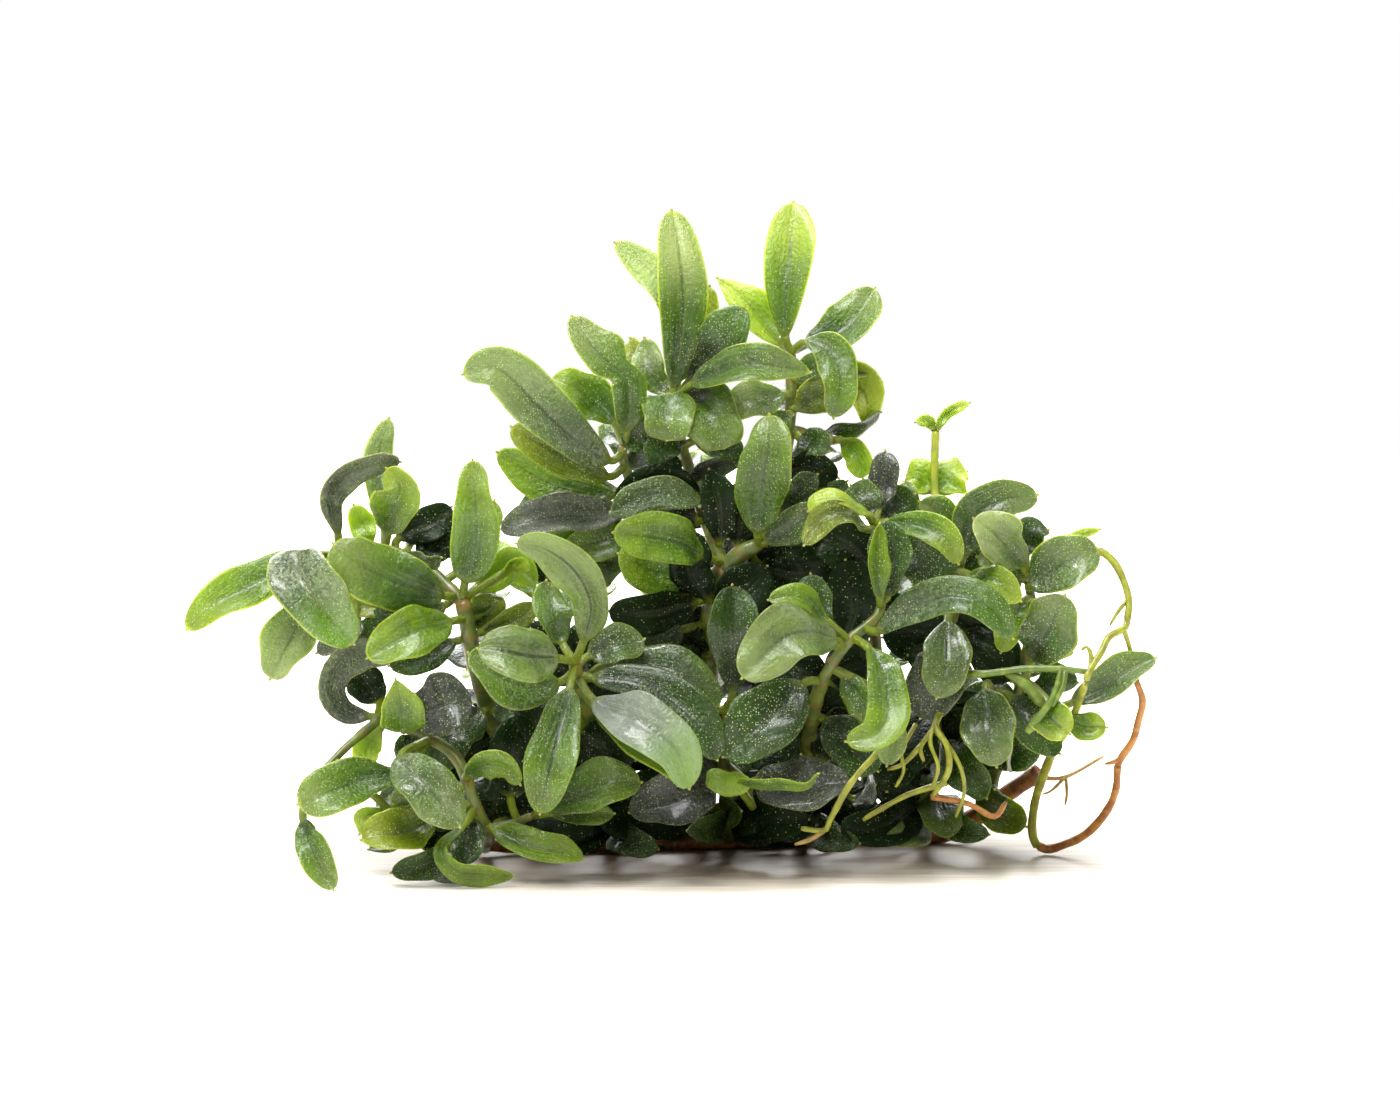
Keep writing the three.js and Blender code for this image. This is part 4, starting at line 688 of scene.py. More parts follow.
def leafSkin(foot, leaf, size):
    tone, width = leaf[:2]
    shape = {**leafBuild, **(leaf[4] if len(leaf) > 4 else {})}
    rows, columns = shape[size]
    centres, sides, faces, along = bladeRows(foot, leaf, shape, rows)
    onLeaf = np.clip(along, 0, 1)

    phases = luck.random(6) * 2 * np.pi
    ease = shape["bladeEase"]
    onBlade = smoothStep(along, 0.0, ease) * smoothStep(-along, -1.0, ease - 1)
    stalkRadius = shape["stalkRadius"] * (1 - shape["stalkTaper"] * onLeaf)
    blade = width / 2 * leafOutline(onLeaf, shape)
    halfWidths = []
    for edge in (0, 1):  # the left and the right half, each a little uneven
        uneven = (np.sin(along * shape["wobbles"] + phases[edge])
                  + 0.5 * np.sin(along * 2 * shape["wobbles"] + phases[edge + 2]))
        half = (blade * (1 + shape["wobble"] * uneven * onBlade)) ** 3 + stalkRadius ** 3
        half = half ** (1 / 3)
        where, taken, length = shape["pinch"]
        half *= 1 - taken * np.exp(-((along - where) / length) ** 2)
        half[-3:] = shape["mucroWidths"]
        halfWidths.append(half)

    reach = np.sin(np.linspace(-1, 1, columns) * np.pi / 2 * shape["rimReach"])
    reach = reach / np.sin(np.pi / 2 * shape["rimReach"])
    out = np.abs(reach[None, :])
    onLeft = reach[None, :] < 0
    half = np.where(onLeft, halfWidths[0][:, None], halfWidths[1][:, None])
    flat = smoothStep(along, *shape["flatAlong"])
    flat[-3:] = shape["mucroFlat"]
    flat = flat[:, None]

    wave = shape["wave"] * (shape["waveLeast"] + shape["waveLuck"] * luck.random())
    wave *= width / shape["usualWidth"]
    lifts = [np.sin(along * shape["waves"] * 2 * np.pi + phases[4 + edge]) * onBlade for edge in (0, 1)]
    edgeLift = np.where(onLeft, lifts[0][:, None], lifts[1][:, None]) * out ** shape["wavePower"] * wave
    fold = math.radians(shape["fold"] + shape["foldSpread"] * (luck.random() - 0.5))
    curl = shape["curl"] + shape["curlSpread"] * (luck.random() - 0.5)
    trough = np.sqrt(out ** 2 + shape["foldRound"]) - math.sqrt(shape["foldRound"])
    rolls = shape["roll"] * (2 * luck.random(2) - 1) * width / shape["usualWidth"]
    roll = np.where(onLeft, rolls[0], rolls[1]) * smoothStep(out, *shape["rollOut"]) * onBlade[:, None]
    folded = math.sin(fold) * shape["foldRise"] * trough
    level = half * (folded + curl * (out ** 2 - out ** 4 * shape["curlBack"])) + edgeLift + roll
    thick = shape["thickness"] / 2 * np.sqrt(np.clip(1 - out ** 4, 0, 1))
    thick = np.minimum(np.maximum(thick, shape["rimThickness"] / 2), half * shape["thickMost"])
    endAt, endFast = shape["grooveTip"]
    grooved = np.clip(along * shape["grooveFoot"], 0, 1) * np.clip((endAt - along) * endFast, 0, 1)
    groove = np.exp(-(out * half / shape["grooveWidth"]) ** 2) * grooved[:, None]
    stalkRound = half * np.sqrt(np.clip(1 - out ** 2, 0, 1))
    top = flat * (level + thick * shape["aboveShare"] - shape["groove"] * groove) + (1 - flat) * stalkRound
    bottom = flat * (level - thick - shape["keel"] * groove) - (1 - flat) * stalkRound
    spreadOut = half * reach[None, :] * (math.cos(fold) * flat + 1 - flat)

    def surface(heights):
        return centres[:, None] + sides[:, None] * spreadOut[..., None] + faces[:, None] * heights[..., None]

    ring = np.concatenate([surface(top), surface(bottom)[:, ::-1]], axis=1)
    points = lifted(ring.reshape(-1, 3), clump["skinLift"])
    around = 2 * columns
    place = np.stack([np.repeat(along, around), np.tile(np.concatenate([reach, reach[::-1]]), len(along)),
                      np.full(len(points), luck.random())], axis=1)
    upper = np.tile(np.concatenate([np.ones(columns), np.zeros(columns)]), len(along))
    return {"points": points, "faces": ringQuads(len(along), around), "material": tone, "leafPlace": place,
            "leafUpper": upper, "leafLook": (shape["tip"], shape["foot"], shape["sheen"]),
            "leafMarks": (shape["dots"], shape["rib"], 0)}


openings = [  # across, up and radius of the places where light comes through the clump
    [2, 48, 1], [14.5, 43.7, 1.8], [2.4, 40.2, 1.3], [4.3, 38.5, 1.3], [-6.8, 42, 1.5], [-6.6, 38, 1.2],
    [-5.4, 47.5, 0.8], [-15.5, 25.5, 1.7], [-5, 26.5, 1], [28.5, 29.8, 1.4], [33.6, 24.5, 0.7],
    [-31.2, 15, 1.3], [-23.5, 19.3, 1.4], [-28.8, 11, 0.8], [-15.8, 31.5, 1.5], [39.5, 5.5, 3.4],
    [41.5, 24, 2],
]
rosetteBuild = {
    "ribShares": (0.16, 0.58, 1),
    "droop": 0.3,
    "faceUp": -54,  # degrees of turn for a leaf that heads to one side
}
denseBuild = {
    "goldenAngle": 137.5,  # from each leaf's heading to the next one's
    "length": 11, "width": 5, "shrink": 0.25,
    "rise": (9, 46),  # degrees, at the lowest leaf and the highest
    "tones": ("black", "black", "dark"),
}


def staysClear(leaf):  # of every opening, by six points from foot to tip
    foot, middle, tip = np.array(leaf[3])[[0, 1, -1], :2]
    line = np.vstack([foot + (middle - foot) * share for share in (0, 0.5)]
                     + [middle + (tip - middle) * share for share in (0, 0.33, 0.67, 1)])
    for across, up, radius in openings:
        if np.hypot(line[:, 0] - across, line[:, 1] - up).min() < radius + leaf[1] / 2:
            return False
    return True


def rosetteLeaf(shoot, leaf):  # leaves the stem on its heading, rises, and droops as it goes
    where, heading, rise, length, width, tone = leaf
    line, lengths = smoothCourse(drawn(shoot["stems"][0]["points"]))
    across, back, up = readCourse(line, lengths, np.array([where]))[0][0]
    turn, climb = math.radians(heading), math.radians(rise)
    rib = []
    for share in rosetteBuild["ribShares"]:
        rib.append([across + length * share * math.cos(climb) * math.cos(turn),
                    up + length * (share * math.sin(climb) - rosetteBuild["droop"] * share ** 2),
                    back + length * share * math.cos(climb) * math.sin(turn)])
    return [tone, width, rosetteBuild["faceUp"] * math.cos(turn), rib]


def denseLeaves(shoot):  # leaves spaced round the stem by the golden angle
    count, low, high = shoot["dense"]
    lowestRise, highestRise = denseBuild["rise"]
    leaves = []
    for i in range(count):
        share = i / (count - 1)
        size = 1 - denseBuild["shrink"] * share
        leaf = rosetteLeaf(shoot, [low + (high - low) * share, denseBuild["goldenAngle"] * i,
                                   lowestRise + (highestRise - lowestRise) * share,
                                   denseBuild["length"] * size, denseBuild["width"] * size,
                                   denseBuild["tones"][i % len(denseBuild["tones"])]])
        if staysClear(leaf):
            leaves.append(leaf)
    return leaves


# pieces

outerLightShell = {  # the clump's middle and half sizes in mm
    "middleUp": 20, "backFrom": 6,
    "across": 46, "up": 42, "back": 20,
    "closed": 0.42, "open": 0.95,  # shares of the way out where leaves are still inside, and in the open, between which the painted outer light rises
}


def openness(points):  # 0 inside the clump, 1 at its outer leaves: how much painted light a leaf gets
    away = np.sqrt((points[:, 0] / outerLightShell["across"]) ** 2
                   + (np.maximum(points[:, 2] - outerLightShell["middleUp"], 0) / outerLightShell["up"]) ** 2
                   + (np.maximum(points[:, 1] - outerLightShell["backFrom"], 0) / outerLightShell["back"]) ** 2)
    return smoothStep(away, outerLightShell["closed"], outerLightShell["open"])


def makePiece(node, skins):
    points, faces, place, upper, look, marks, materialIndex = [], [], [], [], [], [], []
    used = [name for name in materialOrder if any(skin["material"] == name for skin in skins)]
    count = 0
    for skin in skins:
        points.append(skin["points"])
        faces += [[count + i for i in face] for face in skin["faces"]]
        materialIndex += [used.index(skin["material"])] * len(skin["faces"])
        place.append(skin["leafPlace"])
        upper.append(skin["leafUpper"])
        look.append(np.broadcast_to(skin["leafLook"], skin["points"].shape))
        marks.append(np.broadcast_to(skin["leafMarks"], skin["points"].shape))
        count += len(skin["points"])
    mesh = bpy.data.meshes.new(node + "_grown")
    mesh.from_pydata(leanToWorld(np.vstack(points)).tolist(), [], faces)
    for name in used:
        mesh.materials.append(materials[name])
    mesh.polygons.foreach_set("material_index", materialIndex)
    mesh.polygons.foreach_set("use_smooth", [True] * len(faces))
    for name, rows in (("leafPlace", place), ("leafLook", look), ("leafMarks", marks)):
        layer = mesh.attributes.new(name, "FLOAT_VECTOR", "POINT")
        layer.data.foreach_set("vector", np.vstack(rows).ravel())
    for name, values in (("leafUpper", np.concatenate(upper)), ("leafOuterLight", openness(np.vstack(points)))):
        mesh.attributes.new(name, "FLOAT", "POINT").data.foreach_set("value", values)
    mesh.update()
    piece = bpy.data.objects.new(node + "_grown", mesh)
    bpy.context.scene.collection.objects.link(piece)
    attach(piece, "root")
    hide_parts(node)


def growShoot(shoot):
    def grown(leaf, size):
        return leafSkin(nearestOnStems(shoot, drawn(leaf[3])[0]), leaf, size)

    skins = [stemSkin(stem, stem.get("tone", "stem")) for stem in shoot["stems"]]
    small = shoot.get("small", []) + [rosetteLeaf(shoot, leaf) for leaf in shoot.get("rosette", [])]
    skins += [grown(leaf, "small") for leaf in small]
    fill = shoot.get("fill", []) + (denseLeaves(shoot) if "dense" in shoot else [])
    skins += [grown(leaf, "fill") for leaf in fill]
    makePiece(shoot["node"], skins)
    for node, *leaf in shoot.get("leaves", []):
        makePiece(node, [grown(leaf, "own")])
    print(shoot["node"], "grown:", len(small), "small leaves,", len(fill), "filling ones,",
          len(shoot.get("leaves", [])), "whole ones")


# The plant. A leaf row is [node, tone, width, turn in degrees, rib], a small one has no node, and a last
# dictionary changes the blade. A rosette row is [place on the stem, heading, rise, length, width, tone].
# "dense" is the number of plain dark leaves, most in the near-black painted-shade tone, and the lowest and
# the highest place on the stem.

roundedLeaf = {"blunt": 0.5}
rhizome = {
    "node": "rhizome",
    "slot": "rhizome",
    "stems": [
        {"points": [[37, 8.2, 5], [34, 6.2, 6.5], [30.5, 3.6, 8], [26, 1.75, 8.5], [18, 1.7, 8],
         [10, 1.45, 6], [2, 1.2, 4], [-6, 1, 2], [-14, 0.85, 0.5], [-19, 1, -1]],
         "thick": [1.7, 2, 1.7, 1.2], "tone": "rhizome"},
        {"points": [[36.4, 7.8, 5.4], [39.5, 7.7, 6], [43.5, 9.8, 7]], "thick": [0.5, 0.3],
         "tone": "tanRoot"},
        {"points": [[39.7, 7.8, 6.1], [38.3, 6.4, 6.2], [37.4, 6, 6.4]], "thick": [0.35, 0.25],
         "tone": "tanRoot"},
        {"points": [[39.7, 7.8, 6.1], [39.8, 6, 6], [39.6, 4.9, 6]], "thick": [0.35, 0.25],
         "tone": "tanRoot"},
    ],
}
growShoot(rhizome)

crownMainStem = {
    "node": "crown_main_stem",
    "dense": (12, 0.1, 0.85),
    "stems": [
        {"points": [[3, 1.2, 4.5], [3.4, 9, 0.5], [3.8, 18, -5], [4.2, 25, -8], [5.6, 29, -9.6]],
         "thick": [2, 2.1]},
        {"points": [[5.4, 28.6, -9.5], [7.5, 30.4, -10], [9, 31, -10.3]], "thick": [1.9, 1.5]},
    ],
    "leaves": [
        ["centre_upright_leaf", "green", 5.7, -12, [[8.7, 32.3, -12.3], [9, 35.7, -14.6],
         [9.8, 40.5, -16], [9.8, 43.9, -15]]],
        ["centre_pale_leaf", "bright", 5.2, 15, [[3.2, 30, -12], [0, 31.5, -15.6], [-5.6, 32.2, -18]]],
    ],
    "small": [
        ["bright", 5.4, 12, [[2.4, 27.7, -10.8], [-1.8, 28.6, -12.5], [-5.2, 30, -13.5]]],
        ["black", 4.6, -20, [[2.6, 25.3, -11.2], [-2, 24.3, -14], [-5.8, 24.3, -16]]],
        ["black", 6.2, 20, [[9, 29, -8.4], [13, 28, -10.6], [17, 28.6, -11.2]]],
        ["black", 6.2, -25, [[6.5, 24.4, -9], [10.5, 23.2, -11.8], [13.2, 20, -12.4]]],
        ["black", 5.8, 30, [[6.6, 20, -7], [9.6, 16, -9.4], [11.5, 11.8, -10]]],
        ["dark", 5.4, -30, [[1.2, 22.5, -9.4], [-2.6, 20.4, -11], [-6.6, 19.6, -11.4]]],
    ],
    "fill": [
        ["black", 5.4, 0, [[5, 24.6, -9.4], [7.4, 26.4, -11], [9.6, 28.8, -11.4]]],
        ["black", 5, -15, [[3.6, 20, -7], [1.4, 21.6, -7.6], [-1, 24.2, -7]]],
        ["black", 4.6, 10, [[3.8, 25.6, -10.6], [2, 28.6, -12], [2.2, 32.4, -12]]],
        ["silver", 3.6, 0, [[9.6, 31.4, -11.4], [12, 32.8, -12.6], [15.2, 34.6, -12.8]]],
        ["black", 4.2, 0, [[6.8, 31, -9], [7.2, 34, -8.6], [7.4, 37.4, -8]]],
        ["black", 4.6, 10, [[3.6, 14, -3], [1, 15.6, -5], [-1.4, 18.4, -6]]],
        ["black", 4.8, 0, [[3.4, 10, -0.6], [6.4, 11, 2], [9.4, 13, 3]]],
        ["black", 5, 30, [[3, 6, 2], [0.4, 4.4, 0], [-3.4, 3.4, -2]]],
        ["black", 4.2, 0, [[6.6, 29.6, -8.4], [9.6, 30.6, -8], [13.2, 31.2, -7.6]]],
        ["black", 3.2, 0, [[4.2, 21, -6.4], [3.2, 22.8, -7.6], [2.4, 24.8, -8]]],
    ],
}
growShoot(crownMainStem)

backwardsLeaf = {"blunt": 0.2, "widest": 0.6, "sheen": 1.2, "foot": 0.2, "rib": 0.2, "mucro": 0.05}
crownLeftStem = {
    "node": "crown_left_stem",
    "stems": [
        {"points": [[5.4, 28.6, -9.5], [3.4, 34, -8.6], [1.2, 41, -7.4], [0.3, 45.4, -6.6]],
         "thick": [1.5, 0.9], "tone": "youngStem"},
    ],
    "leaves": [
        ["crown_tall_leaf", "green", 5.2, 8, [[0.4, 46.6, -7], [1.3, 55.5, -8.2], [0.2, 64.3, -6]],
         {"widest": 0.6, "tip": 1.1, "foot": 0.9, "sheen": 0.7, "sway": 0.1, "wobble": 0.03, "wave": 0.2}],
        ["crown_cross_leaf", "green", 5, -26, [[2.3, 47, -9.6], [5.2, 48.2, -12.4], [8.6, 48.9, -13.8],
         [13.9, 48.3, -14]],
         {"widest": 0.5, "blunt": 0.62, "sheen": 1.2, "groove": 0.26, "fold": 24, "wave": 0.25, "tip": 0.3}],
    ],
    "small": [
        ["silver", 3.9, 14, [[3, 35.4, -11.6], [-1.4, 36, -13.2], [-5.8, 34.3, -13.8]]],
        ["pale", 4.1, 10, [[0.6, 47.4, -5], [0.9, 53.4, -3], [-1.4, 57.8, -2.2], [-5.4, 61.2, -2.6]],
         {"tip": 1.2, "rib": 0.2}],
        ["olive", 3.6, -20, [[-0.8, 47.2, -3.6], [-2.8, 49.6, -1.2], [-4.2, 51.6, -0.4]], {"foot": 1}],
        ["dark", 5.3, -14, [[2, 47.4, -6.2], [4.9, 50.8, -8.4], [7.3, 54.6, -9]], {"sheen": 1, "tip": 1.2}],
        ["olive", 4.1, 0, [[0.8, 47.5, -4], [2.8, 53, -1.6], [3.9, 56.8, -1.6]]],
        ["green", 5.4, 6, [[0, 45.6, -8.6], [0, 44.8, -11.2], [-0.2, 43, -13], [-0.4, 41.4, -13.4]],
         backwardsLeaf],
        ["green", 5.7, -14, [[2, 45.4, -8.4], [3.7, 44.8, -11], [4.7, 42.8, -12.4], [5.4, 40.6, -12.8]],
         backwardsLeaf],
        ["black", 4.4, -15, [[3, 35.6, -9.8], [-1.2, 37.2, -11], [-5.4, 35.4, -11.4]]],
        ["black", 3.8, 10, [[5, 31.4, -10], [4.9, 34.6, -11.2], [4, 38.4, -11.6]]],
    ],
    "rosette": [
        [0.62, 125, 35, 13, 4, "dark"],
        [0.8, 75, 48, 14, 4.2, "green"],
        [0.45, 100, 28, 14, 4.4, "dark"],
    ],
    "fill": [
        ["dark", 3.8, 8, [[-0.4, 41.5, -9.6], [-2.6, 42.4, -10.4], [-4.4, 40.6, -10.8]]],
        ["lilac", 3, 10, [[-1, 38.6, -7], [-3.4, 40, -5.4], [-5.8, 42.2, -4.6]]],
        ["dark", 3.2, -10, [[2.6, 41.4, -9.4], [4.8, 41.2, -10.6], [7.2, 40.2, -11]]],
        ["dark", 2.6, 0, [[1.6, 45.6, -8.6], [3.6, 46.2, -10], [6.2, 45.6, -10.6]]],
        ["black", 4.4, 0, [[2.8, 33.4, -9.4], [1.4, 33.6, -8], [0, 31.8, -7]]],
        ["pale", 3.2, 0, [[0, 46, -5.6], [-1.8, 48, -4.8], [-2.6, 51.6, -4.2]]],
        ["purple", 2.4, 20, [[2.2, 37.6, -8.4], [4, 38.6, -9.4], [7.4, 39.6, -10]]],
        ["dark", 3.6, 0, [[1, 42.6, -8.6], [-0.8, 40.8, -10.6], [-1.6, 38.8, -11]]],
        ["dark", 3.4, 0, [[1.2, 43.6, -9], [2.6, 43.2, -10.6], [3.6, 41.4, -11.4]]],
    ],
}
growShoot(crownLeftStem)

crownRightStem = {
    "node": "crown_right_stem",
    "stems": [
        {"points": [[9, 31, -10.3], [11, 37, -8.8], [12, 43.6, -7.4], [12.1, 50.2, -7.8]],
         "thick": [1.4, 1], "tone": "youngStem"},
        {"points": [[12, 42.4, -7.6], [14, 41.8, -6.8], [16.2, 41.4, -6.4]], "thick": [1.2, 1.4],
         "tone": "youngStem"},
    ],
    "leaves": [
        ["crown_right_tall_leaf", "bright", 5.2, -10, [[11.5, 51.8, -8], [11.6, 56.5, -7.8],
         [12, 60.5, -6.8], [12.3, 65.2, -5.2]],
         {"widest": 0.6, "sway": 0.08, "wobble": 0.03, "wave": 0.2, "tip": 0.75, "foot": 0.7, "sheen": 0.6}],
        ["crown_lime_leaf", "lime", 4.3, 15, [[11.2, 50.9, -6.8], [9.4, 53.3, -6], [7.4, 55.4, -5.2],
         [4.8, 57.6, -4.8]], {"widest": 0.42, "blunt": 0.8, "dots": 0.1}],
        ["crown_right_leaf", "green", 5.2, -22, [[13.6, 51, -7.4], [17.5, 52.9, -6.6],
         [20.4, 56.5, -4.8]],
         {"sway": 0.1, "wobble": 0.03, "wave": 0.25, "blunt": 0.5, "tip": 0.4, "foot": 0.9}],
        ["crown_curled_leaf", "green", 4, -18, [[13.6, 51.2, -9.4], [15.9, 50.3, -10.6],
         [16.9, 47.6, -11.6], [16.4, 43.7, -11.8]], {"sheen": 1.5, "foot": 0.3, "tip": 0.2}],
    ],
    "small": [
        ["dark", 3.4, 25, [[11.2, 34.4, -10], [13, 36.6, -10.8], [14.6, 37.8, -11.4]]],
        ["dark", 3.2, 15, [[11.8, 33.6, -8.8], [15.4, 35.4, -9.4], [17.6, 37.3, -9.6]]],
        ["olive", 4.7, -10, [[13.4, 45.2, -5.6], [16.8, 47.2, -4], [19.2, 46.4, -3.4], [19.8, 43, -3.4]],
         {"tip": 1.2, "dots": 0.3}],
        ["dark", 2.7, 55, [[14.8, 41.9, -5.6], [17, 42.6, -4.6], [19, 43.2, -3.8], [21.1, 43.9, -3.4]]],
        ["pale", 4.1, 20, [[11.2, 45.9, -8.8], [8.6, 45.4, -10.2], [5.4, 44.5, -10.8]],
         {"tip": 1.4, "foot": 0.1, "sheen": 1}],
        ["dark", 3.5, -20, [[13, 41.6, -8.8], [14.6, 40.9, -10.4], [15.8, 40.4, -10.8]]],
        ["lime", 2.9, 0, [[17.2, 41.4, -5], [18.6, 40, -4.4], [19.3, 37.7, -4.4]]],
    ],
    "rosette": [
        [0.35, 60, 30, 13, 4.2, "dark"],
        [0.62, 110, 40, 12, 4, "green"],
        [0.8, 30, 30, 10, 3.6, "green"],
    ],
    "fill": [
        ["black", 3.6, 0, [[11.6, 38.4, -9], [14, 38.6, -10], [16.6, 37.6, -10.2]]],
        ["green", 3, 0, [[12.6, 47.6, -8], [14.4, 48.8, -8.4], [16, 50, -8]]],
        ["olive", 4, 0, [[12.6, 44.6, -8.4], [14.4, 45.8, -7.6], [17.4, 46.6, -6.6]]],
        ["green", 3, 0, [[11.8, 44, -8.6], [10.4, 42.6, -9.6], [9.6, 40.8, -10]]],
    ],
}
growShoot(crownRightStem)

leftHighStem = {
    "node": "left_high_stem",
    "stems": [
        {"points": [[3.9, 26, -8.3], [0, 31.4, -8.4], [-3.4, 36.4, -9.2], [-4.7, 39.6, -10],
         [-4.6, 41, -10.3]], "thick": [1.4, 0.9], "tone": "youngStem"},
    ],
    "leaves": [
        ["twisted_leaf", "green", 5.2, [5, 40, 30], [[-4.3, 42.4, -11], [-4.1, 45, -12.4], [-4.4, 47.6, -13],
         [-6.4, 49.4, -12.8], [-8, 51.1, -12.4], [-9.6, 53.8, -11.6]],
         {"pinch": (0.47, 0.42, 0.07), "sheen": 1.1, "tip": 0.6, "sway": 0.1, "foot": 0.4}],
        ["long_grey_leaf", "silver", 5.7, 16, [[-6.1, 39.4, -12.6], [-9.2, 41.3, -15.6],
         [-13.3, 45, -18.4], [-17.1, 48.5, -19.6], [-20.4, 47.9, -19.8]],
         {"widest": 0.55, "sheen": 1.1, "tip": 1.3, "foot": 0.8, "sway": 0.1}],
    ],
    "small": [
        ["olive", 4.4, 10, [[-6.2, 37.8, -11.6], [-10, 39.5, -13.6], [-14, 41.6, -14.6],
         [-15.7, 42.7, -14.8]]],
        ["bright", 4.9, 22, [[-5.6, 43.2, -8.8], [-8, 45.7, -8.6], [-11.8, 47.5, -9]]],
        ["bright", 4.4, 12, [[-5.6, 36, -9.4], [-11, 36.7, -10.2], [-17.1, 40.2, -10.6]]],
        ["lilac", 4.7, 26, [[-4.4, 34.4, -10.4], [-11, 33.7, -12.6], [-16.8, 32.6, -13]], {"sheen": 0.8}],
    ],
    "rosette": [
        [0.35, 130, 30, 13, 4.2, "green"],
        [0.7, 165, 10, 13, 4, "dark"],
        [0.85, 100, 45, 11, 3.8, "green"],
    ],
    "fill": [
        ["green", 4.2, 10, [[-2.4, 32.5, -9.6], [-6, 31.6, -10.6], [-10.6, 30.4, -11]]],
        ["silver", 3.2, 10, [[-2.8, 31.4, -8], [-5.6, 29.4, -8.4], [-7.6, 26.6, -8.6]]],
        ["black", 4, 0, [[-1.8, 34.2, -9.6], [-0.6, 37, -10.4], [-0.4, 40.4, -10.2]]],
        ["green", 4.2, 0, [[-3.4, 32.6, -9.8], [-8, 31.6, -9.6], [-13.6, 30.6, -9.4]]],
        ["dark", 4, 0, [[-2.6, 31, -8.2], [-6.4, 29.8, -8], [-10, 28.2, -7.6]]],
    ],
}
growShoot(leftHighStem)

frontStem = {
    "node": "front_stem",
    "dense": (6, 0.12, 0.6),
    "stems": [
        {"points": [[-6, 1, 2], [-6, 6.5, -5], [-7.6, 12.5, -12.6], [-9, 17, -18],
         [-9.4, 19.4, -20.4]], "thick": [1.6, 1.3]},
    ],
    "leaves": [
        ["front_arched_leaf", "pale", 4.6, -14, [[-8.5, 21.6, -22.4], [-7.8, 25, -25.4],
         [-9.3, 28.5, -27.6], [-12.2, 30.6, -28.2], [-15.2, 30.9, -27.8]],
         {"foot": 0.75, "rib": 1.6, "tip": 0.5, "dots": 0.3, "sheen": 0.6}],
        ["front_pale_leaf", "pale", 6.2, 18, [[-11.2, 19.8, -23], [-14.4, 20.1, -26.2],
         [-18.8, 20.9, -27]], {"rib": 1.8, "foot": 0.5, "dots": 0.2, "sheen": 0.8, "tip": 0.3}],
        ["front_hanging_leaf", "green", 5.2, 8, [[-9.9, 16.8, -22.6], [-10.7, 13.2, -24.8],
         [-11.8, 9, -26.2], [-12.8, 4.5, -26]],
         {"widest": 0.56, "rib": 1.4, "foot": 0.9, "sheen": 1.1, "groove": 0.2, "tip": 0.5}],
        ["front_silver_leaf", "glazed", 5.7, -22, [[-7.4, 15.6, -22.2], [-3.4, 13.6, -25.6],
         [0.6, 10.9, -27.2], [2.1, 7, -26.6]], {"tip": 3.2, "foot": 0.5, "sheen": 0.6, "fold": 18}],
    ],
    "small": [
        ["green", 5.6, 22, [[-11, 17.4, -20.8], [-15, 17.1, -22], [-19.8, 20.3, -22.8]],
         {"sheen": 1.3, "foot": 0.3}],
        ["dark", 5, -18, [[-7.6, 17.8, -20], [-2, 17, -21.4], [3, 13, -22.8], [4.6, 9.8, -22.4]]],
        ["silver", 4.6, -20, [[-8, 20, -18.6], [-4.8, 21.1, -18.4], [-2.6, 21.9, -18]]],
        ["green", 4, 24, [[-10.6, 21.2, -18.8], [-11.8, 24.5, -18.8], [-12, 27.5, -18]], {"sheen": 1.4}],
        ["silver", 5, -16, [[-5.6, 19.4, -16.8], [1, 18.2, -17.4], [5, 15.2, -17.8]]],
        ["black", 5.6, 20, [[-8.6, 12.6, -15], [-6.6, 10.8, -17.4], [-3.6, 9.6, -18]]],
        ["black", 4.9, -20, [[-9.6, 13.4, -14.6], [-13, 13.2, -17], [-14.6, 15.6, -17.8]]],
        ["black", 5.4, 30, [[-6, 9, -8.6], [-2, 11.6, -11], [1.6, 13, -12]]],
    ],
    "fill": [
        ["black", 4.8, 0, [[-6.2, 4.4, -5], [-9, 2.2, -9], [-13, 1.4, -11]]],
        ["dark", 3.6, 10, [[-5.8, 3.4, -4], [-4.4, 1.6, -9], [-1.4, 0.8, -11]]],
        ["bright", 4.6, -20, [[-7, 14.6, -21], [-2.8, 11.8, -24.2], [0.6, 9.3, -25.2], [1.9, 7.2, -24.2]],
         {"tipDrop": 0, "sway": 0, "dots": 0.1}],
        ["black", 5.4, 0, [[-8.8, 16.4, -16.2], [-8.4, 19.8, -16], [-8, 23.4, -15.4]]],
        ["black", 4.8, 0, [[-9.2, 17.4, -16.6], [-11.8, 20, -16.2], [-13.4, 23.4, -15.2]]],
        ["black", 5, 15, [[-6.6, 5, -4], [-9.6, 3.6, -9], [-13.6, 3, -12]]],
        ["black", 5, -15, [[-6.4, 8, -7], [-10, 8.6, -9], [-13.6, 9.4, -9.4]]],
        ["black", 4.6, 0, [[-8.8, 15, -15.6], [-6.4, 16.4, -15], [-3, 17, -14.6]]],
        ["black", 3.8, 0, [[-6, 4, -3], [-5.4, 5, -6.4], [-4.6, 6.2, -8]]],
    ],
}
growShoot(frontStem)

